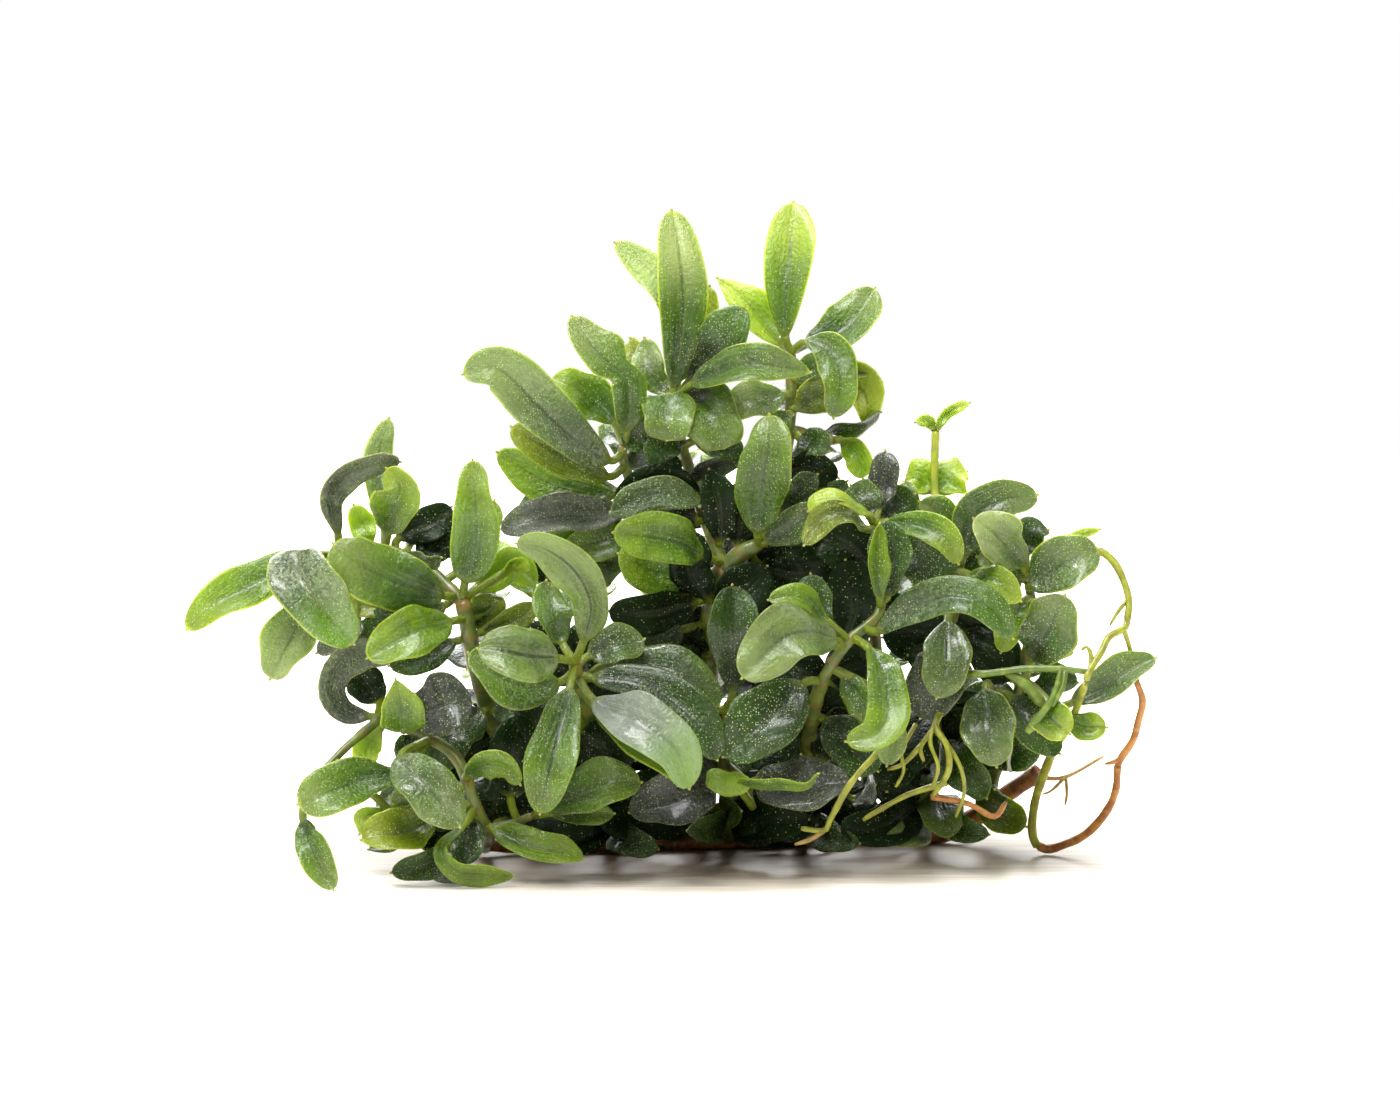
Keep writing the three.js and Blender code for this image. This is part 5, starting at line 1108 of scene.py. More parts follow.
centreStem = {
    "node": "centre_stem",
    "dense": (8, 0.1, 0.8),
    "stems": [
        {"points": [[6, 1.35, 5], [5.6, 5, -3.4], [5.4, 10, -9.6], [5.6, 14.6, -13.4]],
         "thick": [1.5, 1.1]},
        {"points": [[5.6, 9.2, -8.8], [7.4, 7.6, -11.6], [8.2, 5, -12.6]], "thick": [0.8, 0.7]},
    ],
    "leaves": [
        ["paddle_leaf", "dark", 5.5, 10, [[6.3, 16.6, -14.8], [6.2, 21.2, -16.4], [6.3, 26.9, -16.8]],
         {"widest": 0.62}],
        ["low_purple_leaf", "purple", 5.8, 18, [[4.4, 7, -13], [1, 5.8, -15.8], [-3.9, 4.6, -17]]],
        ["low_speckled_leaf", "purple", 6.2, -20, [[8.6, 7.6, -14.6], [12.6, 7.1, -17.4],
         [17.8, 7.7, -18.2]]],
    ],
    "small": [
        ["bright", 2.6, -15, [[4, 8.4, -18], [5.4, 7.4, -20], [8.2, 7.3, -20.6]]],
        ["bright", 2, 42, [[7, 7.4, -20.4], [10.5, 7.3, -22.6], [13.5, 7, -23.2], [14.8, 8.1, -23]]],
        ["olive", 3.2, 30, [[4.4, 14.6, -14], [2.8, 13.4, -16], [1.2, 12.8, -16.4]]],
        ["black", 5.6, 20, [[3.4, 4.6, -3.6], [-2.6, 3.5, -7], [-7, 3.2, -8.4]]],
        ["black", 5.8, -20, [[7.4, 4.4, -4.6], [11, 3.6, -8], [14.4, 3.3, -8.6]]],
        ["black", 6, -15, [[7.4, 11, -11], [10.2, 11.2, -13.4], [12.8, 10.4, -14.2]]],
        ["black", 5.4, 15, [[3.6, 8.4, -8.2], [0, 6.8, -10], [-4.4, 6.4, -10.6]]],
    ],
    "fill": [
        ["dark", 3.4, -10, [[5.6, 3, -3], [4.4, 2.9, -9], [1.6, 2.6, -12]]],
        ["black", 5.4, 0, [[6, 3.6, -3], [9.4, 3.6, -9], [13.6, 3.7, -11]]],
        ["black", 4.6, 0, [[5.8, 4.2, -2], [7.4, 4, -6], [9.8, 3.5, -8.4]]],
        ["black", 5, 10, [[5.6, 3.6, -1], [3.4, 3.6, -5], [0.6, 3.3, -9]]],
        ["dark", 4.2, 0, [[5.5, 8, -7], [3.6, 9.6, -9.6], [2.6, 12.4, -10.4]]],
    ],
}
growShoot(centreStem)

centreRightStem = {
    "node": "centre_right_stem",
    "dense": (9, 0.08, 0.44),
    "stems": [
        {"points": [[13, 1.55, 6.8], [13.4, 7, -3], [14, 13.4, -11.4], [15.4, 18, -16.4],
         [17.8, 21.5, -17.4], [20.8, 24.4, -15.8], [20.7, 29, -14.4], [20.3, 33, -14.4]],
         "thick": [1.7, 1.9, 1.1, 0.8]},
    ],
    "leaves": [
        ["broad_pale_leaf", "pale", 6.4, 20, [[16.4, 21.6, -19.4], [13.8, 22.4, -22.4],
         [10.8, 21.6, -24.6], [7.2, 17.9, -25]], {"sheen": 1.1, "dots": 0.3, "tip": 0.5, "rib": 0.8}],
        ["spotted_leaf", "dark", 6.9, 14, [[13.2, 17.2, -17.2], [10, 13.9, -19.4], [5.4, 10.2, -21]],
         {"dots": 1.6, "sheen": 0.1, "rib": 0.3, "wave": 0.25}],
        ["bright_curled_leaf", "bright", 4.5, -14, [[19.8, 20.6, -19.2], [21.3, 18, -21.6],
         [21.5, 14.4, -23.4], [20.1, 12.2, -24], [17.5, 11.6, -24]]],
        ["long_arched_leaf", "dark", 4.2, -26, [[20.6, 22.5, -18.6], [23.6, 24.6, -20.8],
         [27.5, 25.9, -22.4], [31.3, 24.9, -23], [33.9, 21.8, -22.6]], {"sheen": 1.6, "tip": 2}],
    ],
    "small": [
        ["bright", 2.8, 40, [[15.4, 23.6, -19], [12.6, 26, -20.8], [9.9, 25.7, -21.4]]],
        ["dark", 4, -10, [[15.2, 22, -17.4], [14.2, 25.6, -18], [14, 28, -17.4]]],
        ["pale", 3.6, 15, [[20.4, 16.4, -16.8], [21.9, 12.4, -18], [21.5, 9.2, -18]]],
        ["green", 3.4, 20, [[17.2, 18, -16.8], [19, 15.4, -17.4], [19.8, 13.2, -17.2]]],
        ["dark", 5.4, -10, [[15.4, 13.6, -12.4], [18.6, 10.6, -14], [20.6, 8.6, -14]]],
        ["dark", 4.7, -20, [[21.6, 26, -16.4], [22, 29.6, -16.8], [21.6, 33.4, -16.6]]],
        ["bright", 2.5, 30, [[20.8, 25.8, -17.4], [20.5, 29.4, -18.2], [20.8, 33, -18]], {"tip": 0.2}],
        ["lime", 2.5, 48, [[19.6, 34, -15.4], [17.4, 35.2, -16.6], [14.4, 35.6, -17], [13.6, 34.6, -17]]],
        ["olive", 3.2, 36, [[19.4, 32.6, -16], [17.3, 33.9, -18], [15.2, 33.6, -18.8],
         [13.4, 31, -18.8]]],
        ["bright", 3.2, -12, [[21.6, 33.2, -15.6], [25, 32.9, -17.6], [27.5, 31.5, -18.4],
         [28.6, 29.2, -18.4]]],
        ["dark", 5.6, -20, [[22, 29.6, -13.6], [25, 29.4, -14], [28, 27.4, -13.8]]],
        ["silver", 4.1, 20, [[20, 34, -13.4], [19, 35.8, -13.4], [18, 36.9, -13]]],
        ["purple", 3.4, -10, [[20.7, 34.6, -12.8], [21.3, 38, -11.8], [21.4, 40.2, -11.2]]],
        ["black", 6, 25, [[14.8, 9.6, -8.4], [16, 14, -9.2], [15, 18.8, -9.4]]],
        ["black", 6.2, -25, [[16.8, 20.6, -14.4], [18.4, 24.6, -13.6], [17.4, 29.4, -13.4]]],
    ],
    "fill": [
        ["dark", 3.6, 0, [[13.6, 3.6, 0], [15.4, 2, -8], [18.6, 1.4, -10]]],
        ["black", 6, 0, [[20, 29, -12.6], [17.6, 31, -12], [14.2, 32, -11.6]]],
        ["dark", 4.2, 0, [[21.2, 33.6, -12], [22.6, 35, -11.4], [24.2, 36, -11]]],
        ["black", 5.4, 0, [[15.6, 17.4, -14], [17.6, 18.6, -12.6], [20.6, 19.6, -12]]],
        ["black", 6, 0, [[15.2, 17, -13.6], [12.8, 18.4, -13], [9.8, 19.4, -12.6]]],
        ["black", 5, 0, [[13.6, 5, 0], [15.8, 4.2, -4], [18.6, 3.4, -6]]],
        ["black", 5.4, 0, [[14, 13, -10], [17, 14.6, -10.4], [20.4, 14.4, -10.6]]],
    ],
}
growShoot(centreRightStem)

rightStem = {
    "node": "right_stem",
    "dense": (12, 0.12, 0.9),
    "stems": [
        {"points": [[25, 1.75, 8.5], [26.4, 9, 2.4], [27.6, 19, -5.6], [28.7, 28.5, -12]],
         "thick": [1.6, 1.1]},
        {"points": [[28.2, 26, -10.4], [27.2, 32, -8], [26.4, 36.6, -6], [26.5, 42.6, -6]],
         "thick": [0.9, 0.7], "tone": "limeStem"},
    ],
    "leaves": [
        ["right_top_leaf", "silver", 4.6, -14, [[29.2, 30, -13], [30.2, 33.4, -14], [33, 35.4, -14],
         [36.6, 36.2, -13]]],
        ["right_hanging_leaf", "silver", 5.2, -6, [[27.6, 23.4, -14.8], [27.4, 19.6, -17.8],
         [26.5, 15.9, -18.6]], {"widest": 0.58, "blunt": 0.5}],
    ],
    "small": [
        ["bright", 3.4, -25, [[29.8, 28, -14.2], [32, 27.5, -16.6], [34.6, 25.6, -18]]],
        ["green", 3.4, 20, [[28, 31, -10], [27, 33.9, -10.6], [25, 35.3, -11.2]]],
        ["purple", 6.4, 15, [[28, 20.6, -10], [26.6, 17.2, -13.2], [24.8, 14, -14]]],
        ["lime", 4.6, 20, [[26.1, 36.4, -5.6], [24.9, 37.4, -5.2], [23.3, 37.6, -4.8]], {"blunt": 0.4}],
        ["lime", 4.8, -20, [[26.7, 36.3, -5.6], [28.1, 37.9, -5], [29.6, 38.4, -4.6]], {"blunt": 0.4}],
        ["lime", 1.3, 0, [[26.3, 42.7, -6], [25.6, 43.4, -6], [24.6, 43.3, -6]]],
        ["lime", 1.2, 0, [[26.7, 42.8, -6], [27.8, 44.2, -6], [29.8, 45.2, -5.6]]],
        ["green", 2.6, -10, [[24.6, 32.8, -8.6], [23.7, 35.6, -8], [23.5, 37.4, -7.8]]],
        ["black", 5.8, -25, [[29, 22, -8.4], [31.8, 20.4, -9.4], [34, 17.6, -9.6]]],
        ["black", 6, 20, [[26, 14.6, -4.6], [23.6, 11.4, -8], [21.6, 6.6, -9]]],
        ["green", 5.1, -15, [[26.6, 5.8, 2.4], [27.2, 4, -2.6], [27.8, 1.8, -4]]],
        ["black", 4.9, 10, [[24.8, 5.4, 0.8], [21.8, 3, -5.6], [17, 2.5, -9.4]]],
        ["dark", 4.5, 25, [[27.4, 11, -2.6], [29.6, 8.4, -7], [31.4, 5.8, -8]]],
    ],
    "rosette": [
        [0.55, 75, 25, 14, 4.4, "dark"],
        [0.8, 110, 40, 13, 4.2, "green"],
    ],
    "fill": [
        ["green", 3.6, 0, [[25.4, 3.6, 5], [24, 2, -4], [21.4, 1.4, -7]]],
        ["dark", 3.6, 0, [[26, 4.6, 4], [29, 2.6, -3], [31.6, 2.2, -5]]],
        ["black", 6, 0, [[27.4, 21, -7], [24.4, 22.2, -9], [21.2, 21.8, -10]]],
        ["black", 5.6, 0, [[28.4, 24.6, -9], [31, 22.6, -7.6], [33.4, 20.2, -7]]],
        ["black", 6, 0, [[27, 12, -0.6], [29.4, 13.8, -4.4], [31.6, 15.6, -6]]],
        ["black", 5.6, 0, [[25.8, 6, 4], [23.6, 6.6, -2], [20.6, 7, -5]]],
        ["dark", 3.4, 0, [[28, 28, -10], [30, 29.6, -11], [31.6, 31, -11.4]]],
    ],
}
growShoot(rightStem)

farRightStem = {
    "node": "far_right_stem",
    "dense": (8, 0.1, 0.7),
    "stems": [
        {"points": [[31.4, 4.3, 7.6], [33.2, 11, -0.6], [35, 17.4, -8], [36, 24, -11.6],
         [35.6, 27.4, -12.6]], "thick": [1.6, 0.9]},
        {"points": [[33.6, 12.4, -2.2], [32.6, 15.6, -8.4], [31.6, 17.3, -12.6]], "thick": [1, 0.8]},
        {"points": [[35, 17.4, -8], [34.6, 18, -11.6], [36.8, 16, -14], [38, 14.6, -15]],
         "thick": [1, 1.2]},
    ],
    "leaves": [
        ["far_right_wet_leaf", "silver", 5.7, -16, [[35.9, 26.9, -13.8], [38.5, 28.8, -14.8],
         [42.5, 30.6, -14.8]], {"sheen": 0.8}],
        ["right_round_leaf", "silver", 6, -12, [[36, 19.6, -13.6], [37.4, 22.2, -15.8],
         [39.2, 26, -16.4]], roundedLeaf],
        ["low_oval_leaf", "silver", 5.5, 6, [[31.4, 16.6, -14.4], [31.6, 13, -16.6], [32.4, 9.1, -17]],
         roundedLeaf],
        ["far_right_leaf", "silver", 4.2, -24, [[40, 15.4, -15.2], [43.4, 17.1, -15],
         [48.2, 19.8, -14.6]], {"fold": 30}],
    ],
    "small": [
        ["pale", 5, 22, [[35, 29, -14.2], [32.9, 31.4, -16.6], [30.2, 33.6, -17.4]]],
        ["dark", 3.2, -15, [[35.4, 30, -10.6], [36.2, 32.4, -9.8], [37.7, 32.9, -9.2]]],
        ["lime", 1.3, 0, [[36.8, 29, -11], [40.5, 31.8, -10], [42.8, 32.5, -9.6]]],
        ["dark", 4.5, -18, [[34, 15.8, -11.4], [36.2, 12.6, -12.8], [38.8, 10.4, -13]]],
        ["bright", 4.8, 0, [[37.4, 14.4, -17], [38.2, 13.4, -18], [39.6, 12.3, -17.8]],
         {"fold": 30, "widest": 0.4, "tip": 0.8}],
        ["bright", 3.1, -10, [[39.4, 13.6, -15], [41.4, 13, -15.2], [43.3, 12.9, -15.2]]],
    ],
    "rosette": [
        [0.35, 70, 30, 12, 4.2, "dark"],
        [0.62, 60, 40, 13, 4.2, "green"],
        [0.8, 75, 30, 10, 3.8, "dark"],
        [0.5, 60, 10, 9, 3.6, "green"],
    ],
    "fill": [
        ["bright", 3, 0, [[35.2, 25.4, -13.4], [34, 23.4, -14.6], [32.9, 20.4, -14.8]]],
        ["green", 3, 0, [[35.4, 28, -12.6], [33, 29, -12.8], [30.6, 29.8, -13]]],
        ["silver", 3.8, 0, [[34.8, 27.6, -13.6], [32.6, 27, -15.4], [30.2, 27.8, -15.8]]],
        ["dark", 4.2, 0, [[32, 6.4, 5], [32.2, 6.8, -1], [32, 6, -4]]],
        ["dark", 4.6, 0, [[31.4, 10, 2], [34, 10.4, 0.6], [37, 10.6, 0]]],
        ["olive", 3.8, 0, [[31, 6, 3], [33, 4.2, 2], [35.6, 2.8, 1.6]], {"tip": 0.2}],
        ["black", 5.4, 0, [[33.6, 12.6, -3], [31.6, 11, -5], [29.4, 9, -6]]],
    ],
}
growShoot(farRightStem)

leftStem = {
    "node": "left_stem",
    "dense": (10, 0.1, 0.8),
    "stems": [
        {"points": [[-13, 0.9, 0.7], [-15.6, 8, -4.4], [-18.4, 15.6, -10.4], [-19.8, 21.4, -13.8],
         [-20.6, 25.6, -14.2]], "thick": [1.8, 1.6]},
        {"points": [[-20.5, 25.2, -14.2], [-24, 28.6, -12], [-28, 30.4, -11.4], [-33, 30, -12.6]],
         "thick": [1.3, 1]},
    ],
    "leaves": [
        ["left_upright_leaf", "bright", 4.9, -8, [[-20.3, 27.4, -15], [-19.3, 31, -16.6],
         [-19.2, 35, -17.4], [-19.6, 39.4, -16.6]],
         {"widest": 0.44, "tip": 0.5, "foot": 1, "sheen": 1.6, "pinch": (0.72, 0.10, 0.1)}],
        ["left_oval_leaf", "green", 6.8, 14, [[-22.6, 26, -15.8], [-27, 27.2, -18],
         [-31.5, 29.6, -19.4], [-33.3, 31.1, -19.2]],
         {"dots": 0.2, "tip": 0.45, "foot": 1, "rib": 0.3, "sheen": 0.3}],
        ["left_bright_leaf", "bright", 5.2, 20, [[-21.8, 23.4, -17], [-25.4, 22.3, -20.4],
         [-29.8, 20, -22.2]], {"dots": 0.1, "tip": 0.2, "foot": 0.4, "rib": 0.4, "sheen": 0.2}],
        ["folded_spotted_leaf", "frosted", 7.2, [0, 0, -8], [[-36.4, 29.9, -16.6], [-36.6, 28.2, -18.8],
         [-34.8, 25, -20.6], [-31.2, 21.3, -20.6]],
         {"fold": 28, "groove": 0.34, "wave": 0.5, "sheen": 1.6, "tip": 0.8, "foot": 0.4, "widest": 0.42,
          "blunt": 0.38, "roll": 0.2}],
        ["far_left_leaf", "bright", 4.9, 26, [[-35, 29.6, -12.4], [-39.2, 28.3, -13.8],
         [-44.2, 25.5, -15.2], [-47.9, 22.6, -15.8]], {"sheen": 0.8, "foot": 0.9, "tip": 0.3}],
    ],
    "small": [
        ["olive", 3.6, 0, [[-19.6, 23, -12.4], [-18.2, 24.6, -11.6], [-17.4, 26.4, -11]]],
        ["lime", 3.9, 15, [[-19.2, 26.6, -12.6], [-16, 29, -9], [-12.8, 27.4, -7.4]]],
        ["lime", 2, 40, [[-16.6, 28.2, -11.6], [-15, 29.4, -11.4], [-14.2, 28.2, -11]]],
        ["pale", 5.6, 20, [[-34, 26, -12.6], [-37.3, 22.4, -12.8], [-39.7, 17.7, -12.6]]],
        ["lilac", 3.5, 38, [[-33, 32.2, -12.8], [-33.5, 35.3, -13.4], [-31.9, 38.1, -14],
         [-29.2, 39.2, -14], [-26.8, 39.2, -13.6]], {"sheen": 1.5, "tip": 0.9, "wave": 0.5}],
        ["pale", 3.1, 10, [[-28.4, 33, -10.2], [-29, 39.5, -9.4], [-28, 43.5, -9.4]]],
        ["bright", 4.9, -10, [[-28, 32.2, -12.6], [-27.4, 34.6, -14.4], [-26.8, 36.8, -15.4],
         [-28.2, 38.3, -15.8]]],
        ["black", 3.9, -20, [[-27, 31.6, -10.4], [-24, 32.9, -9.8], [-21.8, 34.8, -9.6]]],
        ["lime", 2.7, 0, [[-29.9, 31, -10.4], [-30.6, 33, -10.3], [-31.4, 34.9, -10.2]]],
        ["lime", 1.9, 0, [[-25.6, 31.6, -9.4], [-23.9, 34.8, -8.6]]],
        ["silver", 2.1, 30, [[-26.6, 30, -13], [-24.4, 29.2, -14.2], [-22.8, 29.8, -14.2]]],
        ["dark", 5.6, 20, [[-18.6, 14.4, -11], [-21.6, 12.4, -13.4], [-23.8, 8.6, -14]]],
        ["dark", 5.4, -20, [[-17.6, 14.6, -10.4], [-14, 15.4, -13], [-11.2, 13.4, -13.4]]],
    ],
    "rosette": [
        [0.4, 100, 25, 14, 4.6, "dark"],
        [0.55, 160, 15, 14, 4.6, "green"],
        [0.72, 110, 35, 13, 4.2, "dark"],
        [0.9, 70, 40, 12, 4.2, "green"],
        [0.3, 190, 5, 14, 4.6, "dark"],
    ],
    "fill": [
        ["bright", 3, 0, [[-19, 30, -11.4], [-18.2, 33, -10.6], [-17.4, 35.4, -10]]],
        ["olive", 3.2, 10, [[-24.6, 27, -12], [-28.6, 25, -13.6], [-32.2, 24.8, -14]]],
        ["dark", 4.6, 15, [[-22.4, 25, -13.4], [-27, 23.4, -14.6], [-31.6, 21.2, -14.8]]],
        ["black", 4.4, -10, [[-24.4, 29.4, -11], [-23.4, 31, -10.4], [-21.6, 32.6, -10]]],
        ["olive", 2.8, 0, [[-18.6, 22.4, -13], [-16, 23.2, -12.4], [-13.2, 25, -11.6]]],
        ["black", 4.6, 0, [[-26.5, 29.8, -11], [-29, 28.6, -9.6], [-32, 28.6, -9]]],
        ["black", 5, 0, [[-16, 9, -5.4], [-13.4, 10.4, -7], [-10.4, 11.6, -7]]],
        ["black", 5.4, 0, [[-17, 12, -7.6], [-19.6, 10.6, -8.4], [-22.6, 8.4, -8.6]]],
        ["dark", 3.2, 10, [[-21.4, 21.4, -13.8], [-24.4, 19.8, -15.4], [-27.8, 19, -16]]],
        ["lilac", 3, 0, [[-31, 23.4, -14.4], [-32.8, 21.6, -15.4], [-35, 20.4, -15.6]]],
    ],
}
growShoot(leftStem)

lowLeftStem = {
    "node": "low_left_stem",
    "stems": [
        {"points": [[-18.6, 1, -0.9], [-18.2, 1.8, -8], [-18.2, 2.7, -16], [-19.2, 5, -19.4],
         [-20.2, 8, -19.8], [-21.6, 10.4, -19], [-25, 12.4, -17.6], [-29, 13.8, -17.4]],
         "thick": [1.6, 1.4, 1.2, 1]},
        {"points": [[-28.8, 13.7, -17.4], [-32.2, 10.8, -20.2], [-34.6, 8, -21.8],
         [-36.2, 5.2, -22.4]], "thick": [0.9, 0.8]},
        {"points": [[-18.2, 2.8, -16.4], [-15.6, 3.4, -16.6], [-13.4, 4.2, -17.2]], "thick": [0.9, 0.8]},
    ],
    "leaves": [
        ["lime_pointed_leaf", "bright", 4.8, 6, [[-26.4, 12.8, -20.4], [-26.5, 14.8, -22.6],
         [-27.1, 17.7, -23]], {"widest": 0.32, "blunt": 0.8}],
        ["dark_round_leaf", "purple", 6.6, -10, [[-25.4, 14.4, -18.4], [-23, 15, -20],
         [-19.6, 15.5, -20.2]], roundedLeaf],
        ["low_left_bar_leaf", "green", 5.7, 24, [[-26.4, 8.6, -20.6], [-30.6, 7.8, -23],
         [-34, 6.4, -24.4], [-36.7, 5.4, -24.6]], {"widest": 0.66, "foot": 1, "tip": 0.35}],
        ["tail_leaf", "green", 3.4, [40, 5, 0], [[-36.2, 3.8, -23.4], [-35.1, 0.5, -25.8],
         [-33.2, -2.9, -27.2]], {"tip": 0.4}],
        ["low_silver_leaf", "silver", 5.7, -14, [[-26.6, 10, -22.8], [-24, 7.2, -25.6],
         [-20.7, 3.3, -26.2]], {"sheen": 1.8, "tip": 1.2, "foot": 0.3}],
    ],
    "small": [
        ["lilac", 3.9, [50, 36, 20], [[-29.8, 14, -17.2], [-32.2, 14.4, -18], [-33.7, 16.5, -18.6],
         [-32.9, 18.9, -18.6], [-30.2, 20.2, -18], [-27.4, 19.6, -17.2]], {"sheen": 1.5, "wave": 0.5}],
        ["black", 3.9, 0, [[-28.8, 15.4, -15.8], [-30, 17, -15], [-31.4, 18.6, -14.6]]],
        ["lime", 3.1, 0, [[-28.8, 12.6, -16.4], [-30, 11, -16], [-30.4, 9, -15.8]]],
        ["olive", 5.2, 22, [[-23.4, 3.9, -20.8], [-26.8, 2.5, -23.4], [-30.4, 1.8, -24.2]]],
        ["lime", 2.1, 10, [[-27.4, 4.2, -20.4], [-30.2, 4.1, -21], [-31, 2.6, -21]]],
        ["green", 3.9, -20, [[-22.6, 6.4, -20.4], [-25.2, 5.6, -21.8], [-27.6, 6, -22]]],
        ["bright", 2.6, [20, 35, 30], [[-20.4, 3.2, -22], [-22.2, 0.9, -24], [-21, -1.2, -24.8],
         [-18.4, -1.8, -24.4], [-15.4, -2, -23]]],
        ["dark", 3.4, 0, [[-19.4, 3.8, -19.6], [-20, 1.4, -21], [-20.3, -0.6, -21.2]]],
        ["dark", 3, 30, [[-21.8, 1, -19.4], [-22.6, -1.2, -21.2], [-19.8, -2, -22]]],
        ["dark", 3.2, 0, [[-20.6, 1, -18.4], [-23.6, -0.6, -20.4], [-27.4, -1.4, -21]]],
        ["bright", 3.6, -28, [[-17.4, 2.8, -18.2], [-14, 1.4, -20.2], [-8.6, -0.1, -20.8]]],
        ["bright", 3.2, 26, [[-20, 8.2, -21.6], [-18.2, 9.3, -23.4], [-16.2, 8.8, -23.8],
         [-14.8, 7.4, -23.6]]],
        ["green", 5.5, -22, [[-12.4, 5, -18.6], [-7.4, 7.1, -20], [-2.9, 7.6, -20.2]]],
        ["green", 2.6, -15, [[-11.6, 4.4, -17.4], [-8, 4.3, -18], [-5.6, 4.4, -18]]],
        ["black", 5.8, 15, [[-15.8, 6, -16], [-15.4, 10, -16.4], [-14.4, 14, -16.2]]],
        ["black", 6.2, -10, [[-16.6, 3.6, -13.6], [-12, 4.2, -14.4], [-7.4, 3.4, -14.4]]],
        ["dark", 4.9, 25, [[-20, 4, -14], [-23.6, 4.6, -15.6], [-27, 3.4, -16]]],
    ],
    "rosette": [
        [0.2, 185, 12, 12, 4.4, "dark"],
        [0.32, 160, 25, 13, 4.4, "green"],
    ],
    "fill": [
        ["dark", 3, 0, [[-25.4, 12, -17], [-26, 10.8, -17.6], [-25, 9.4, -18]]],
        ["black", 4.4, 0, [[-18.2, 2.6, -13], [-21.6, 2.4, -15], [-25, 1.4, -16]]],
        ["black", 4, 0, [[-18.6, 3.4, -12], [-17.4, 5, -14], [-17, 8.6, -14.4]]],
    ],
}
growShoot(lowLeftStem)

backLeftShoot = {
    "node": "back_left_shoot",
    "dense": (12, 0.1, 0.9),
    "stems": [
        {"points": [[-10, 0.95, 1.3], [-12, 8, 8.6], [-13, 17, 12.6], [-12.4, 26, 12.4]],
         "thick": [1.7, 1]},
    ],
    "rosette": [
        [0.25, 180, 8, 14, 4.8, "dark"],
        [0.32, 90, -8, 13, 4.6, "green"],
        [0.45, 130, 15, 14, 4.8, "green"],
        [0.55, 60, 12, 14, 4.6, "dark"],
        [0.66, 130, 28, 14, 4.6, "green"],
        [0.76, 100, 32, 14, 4.4, "bright"],
        [0.86, 40, 45, 13, 4.2, "green"],
        [0.94, 150, 52, 14, 4.2, "bright"],
        [0.98, 270, 62, 12, 4, "dark"],
    ],
}
growShoot(backLeftShoot)

backCentreShoot = {
    "node": "back_centre_shoot",
    "dense": (14, 0.1, 0.95),
    "stems": [
        {"points": [[3, 1.3, 4.6], [3, 9, 11.4], [3.4, 19, 13.6], [4, 30, 10], [4.4, 36, 6.4]],
         "thick": [1.8, 1]},
    ],
    "rosette": [
        [0.22, 110, -12, 12, 4.8, "dark"],
        [0.28, 40, 2, 13, 4.6, "green"],
        [0.4, 150, 12, 13, 4.8, "green"],
        [0.48, 85, 10, 14, 4.8, "dark"],
        [0.58, 25, 25, 13, 4.6, "bright"],
        [0.66, 120, 30, 14, 4.6, "green"],
        [0.76, 70, 38, 14, 4.4, "green"],
        [0.84, 165, 40, 13, 4.2, "dark"],
        [0.92, 100, 55, 14, 4.2, "bright"],
    ],
}
growShoot(backCentreShoot)

backRightShoot = {
    "node": "back_right_shoot",
    "dense": (12, 0.1, 0.9),
    "stems": [
        {"points": [[19, 1.7, 8.2], [20, 8, 13.4], [21, 17, 14.4], [20, 26.6, 11.4]], "thick": [1.7, 1]},
    ],
    "rosette": [
        [0.24, 95, -8, 12, 4.8, "green"],
        [0.34, 10, 5, 13, 4.6, "dark"],
        [0.46, 140, 14, 13, 4.6, "green"],
        [0.56, 70, 18, 14, 4.8, "bright"],
        [0.68, 0, 28, 13, 4.4, "green"],
        [0.78, 110, 38, 14, 4.4, "green"],
        [0.87, 50, 48, 14, 4.2, "dark"],
        [0.96, 150, 58, 12, 4, "bright"],
    ],
}
growShoot(backRightShoot)

# roots

def growRoot(root):
    skins = [stemSkin(stem, stem.get("tone", root["tone"])) for stem in root["stems"]]
    makePiece(root["node"], skins)


runnerRoot = {
    "node": "runner_root",
    "tone": "greenRoot",
    "stems": [
        {"points": [[28.2, 18.4, -15.6], [31, 18.2, -17], [35, 18.7, -17.4], [38.6, 18.7, -17.6],
         [41.6, 18.4, -17.6]], "thick": [0.75, 0.6]},
        {"points": [[38.8, 18.7, -17.6], [38.2, 16.4, -18.2], [36.8, 14.2, -18.6], [35.4, 12.4, -18.4]],
         "thick": [0.55, 0.8]},
        {"points": [[39.2, 18.6, -17.6], [38.9, 16.8, -18.2], [37.9, 15, -18.4]], "thick": [0.6, 0.5]},
        {"points": [[33.4, 18.4, -16.8], [35.2, 17.2, -17.2], [37, 15.2, -17.4]], "thick": [0.9, 1.2]},
    ],
}
growRoot(runnerRoot)

upperLoopRoot = {
    "node": "upper_loop_root",
    "tone": "root",
    "stems": [
        {"points": [[37.4, 27.2, -10.8], [40, 29.6, -11.8], [42.5, 30.4, -12.2], [44.1, 29.3, -12.6],
         [45.1, 27.4, -13.2], [45.6, 25.4, -13.8], [45.4, 23.3, -14.4]], "thick": [0.8, 0.7]},
        {"points": [[45.4, 25.5, -13.9], [44.4, 24.2, -14], [43.7, 23, -14]], "thick": [0.4, 0.3]},
    ],
}
growRoot(upperLoopRoot)

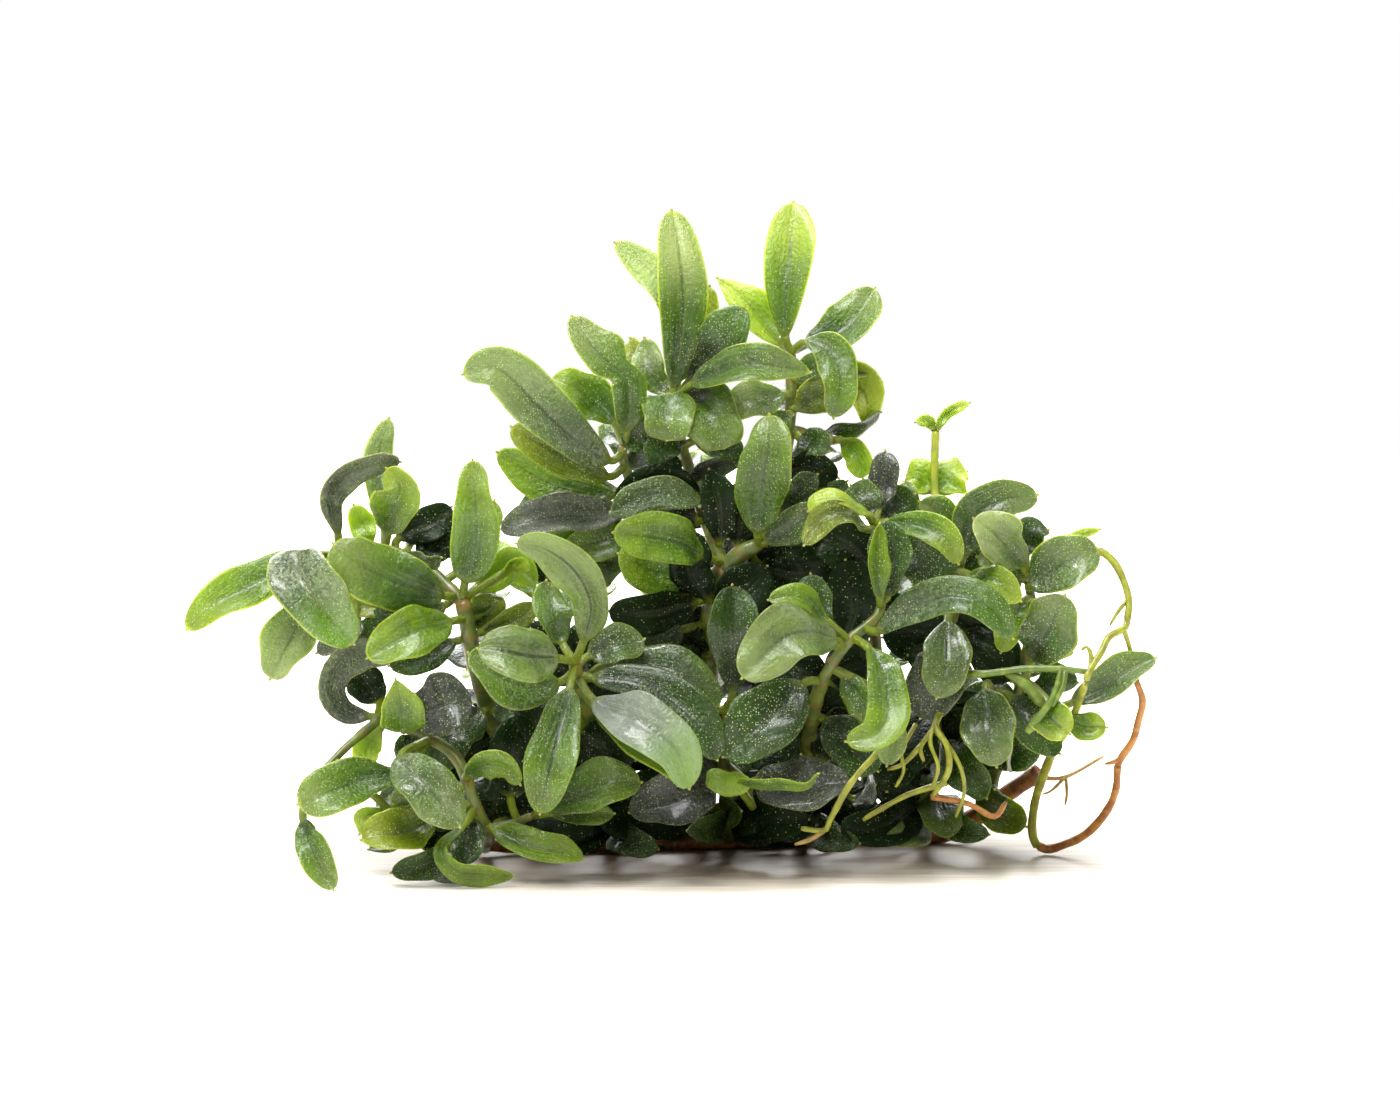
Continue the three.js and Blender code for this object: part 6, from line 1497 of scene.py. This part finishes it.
upperLoopRootEnd = {
    "node": "upper_loop_root_end",
    "tone": "root",
    "stems": [
        {"points": [[45.4, 23.4, -14.4], [45.1, 22.7, -14.6], [43.6, 21.9, -15.4], [42.8, 20.4, -16.2],
         [41.9, 19, -17.2], [41.2, 17.6, -18.2]], "thick": [0.7, 0.75, 0.7]},
        {"points": [[45, 22.8, -14.8], [45.6, 21, -14], [46, 19.4, -13.2], [46.4, 17.4, -12.6]],
         "thick": [0.45, 0.5]},
        {"points": [[41.4, 17.6, -17.6], [41.8, 19.8, -17], [41.4, 20.9, -16.8], [40.8, 20.6, -16.8]],
         "thick": [0.45, 0.4]},
    ],
}
growRoot(upperLoopRootEnd)

lowerLoopRootTop = {
    "node": "lower_loop_root_top",
    "tone": "rustRoot",
    "stems": [
        {"points": [[46.3, 17.6, -12.6], [47, 15.5, -11.8], [46.6, 13.5, -11], [46.1, 11.6, -10],
         [44.8, 9.6, -8.8], [44.6, 8.9, -8.4]], "thick": [0.6, 0.75, 0.75]},
        {"points": [[45, 9.9, -9], [44.2, 9.4, -9.2], [43.3, 9.2, -9.2]], "thick": [0.5, 0.3]},
    ],
}
growRoot(lowerLoopRootTop)

lowerLoopRootFloor = {
    "node": "lower_loop_root_floor",
    "tone": "rustRoot",
    "stems": [
        {"points": [[44.6, 9, -8.5], [44.4, 6.4, -6.6], [43.4, 4.2, -4.8], [41.5, 2.1, -2.6],
         [39, 0.9, -0.8], [37.5, 0.6, 0], [36.7, 1.1, -0.2]], "thick": [0.75, 0.9]},
    ],
}
growRoot(lowerLoopRootFloor)

lowerLoopRootRise = {
    "node": "lower_loop_root_rise",
    "tone": "root",
    "stems": [
        {"points": [[36.7, 0.9, -0.2], [36.3, 1.8, -0.6], [36.2, 3.4, -1.4], [36.6, 6, -3.4],
         [37.6, 9, -6.4], [38.4, 11, -9], [39.4, 12.6, -11.6], [40.3, 14.6, -14.8], [41.2, 17.2, -17.6]],
         "thick": [0.85, 0.9, 0.7]},
    ],
}
growRoot(lowerLoopRootRise)

hangingRoot = {
    "node": "hanging_root",
    "tone": "root",
    "stems": [
        {"points": [[20.8, 10.6, -16.2], [18, 7.5, -20.2], [16, 4, -19], [15.3, 2.7, -18],
         [13, 2.9, -18]], "thick": [0.7, 0.55]},
        {"points": [[15.3, 2.7, -18], [14, 1.8, -17.6], [12.4, 1.3, -17.2]], "thick": [0.5, 0.35],
         "tone": "tanRoot"},
    ],
}
growRoot(hangingRoot)

rootTangle = {
    "node": "root_tangle",
    "tone": "root",
    "stems": [
        {"points": [[26.6, 14, -15], [25.8, 11.6, -17.2], [26.6, 9, -17.6], [26, 6.8, -17.4]],
         "thick": [0.5, 0.35]},
        {"points": [[24.4, 13.2, -15.4], [23, 10.6, -17], [23.2, 8.6, -17.2], [22.4, 7, -16.8]],
         "thick": [0.45, 0.35]},
        {"points": [[27, 12, -16.4], [28.8, 9, -16.6], [29.2, 6.4, -15.6], [28.4, 4, -14.6]],
         "thick": [0.5, 0.35]},
        {"points": [[27.2, 15, -12.6], [26.4, 13, -16], [27.5, 11, -17], [27.6, 8.5, -17],
         [26, 6, -16]], "thick": [0.75, 0.55]},
        {"points": [[26.4, 13, -16], [24.9, 11, -16.6], [25.2, 9.5, -16.6]], "thick": [0.55, 0.4]},
        {"points": [[25, 11.2, -16.6], [23.2, 9.3, -16.4], [21.6, 8.7, -16]], "thick": [0.5, 0.4]},
        {"points": [[27.4, 7.4, -16.8], [23.6, 6.2, -15.6], [20.5, 4.5, -14.4], [19.2, 3.7, -13.8]],
         "thick": [0.65, 0.45]},
        {"points": [[26, 6, -16], [29.6, 5.3, -14.4], [32.2, 4, -12.6], [33.4, 5.4, -11.6]],
         "thick": [0.6, 0.55], "tone": "rustRoot"},
    ],
}
growRoot(rootTangle)
print("roots grown")
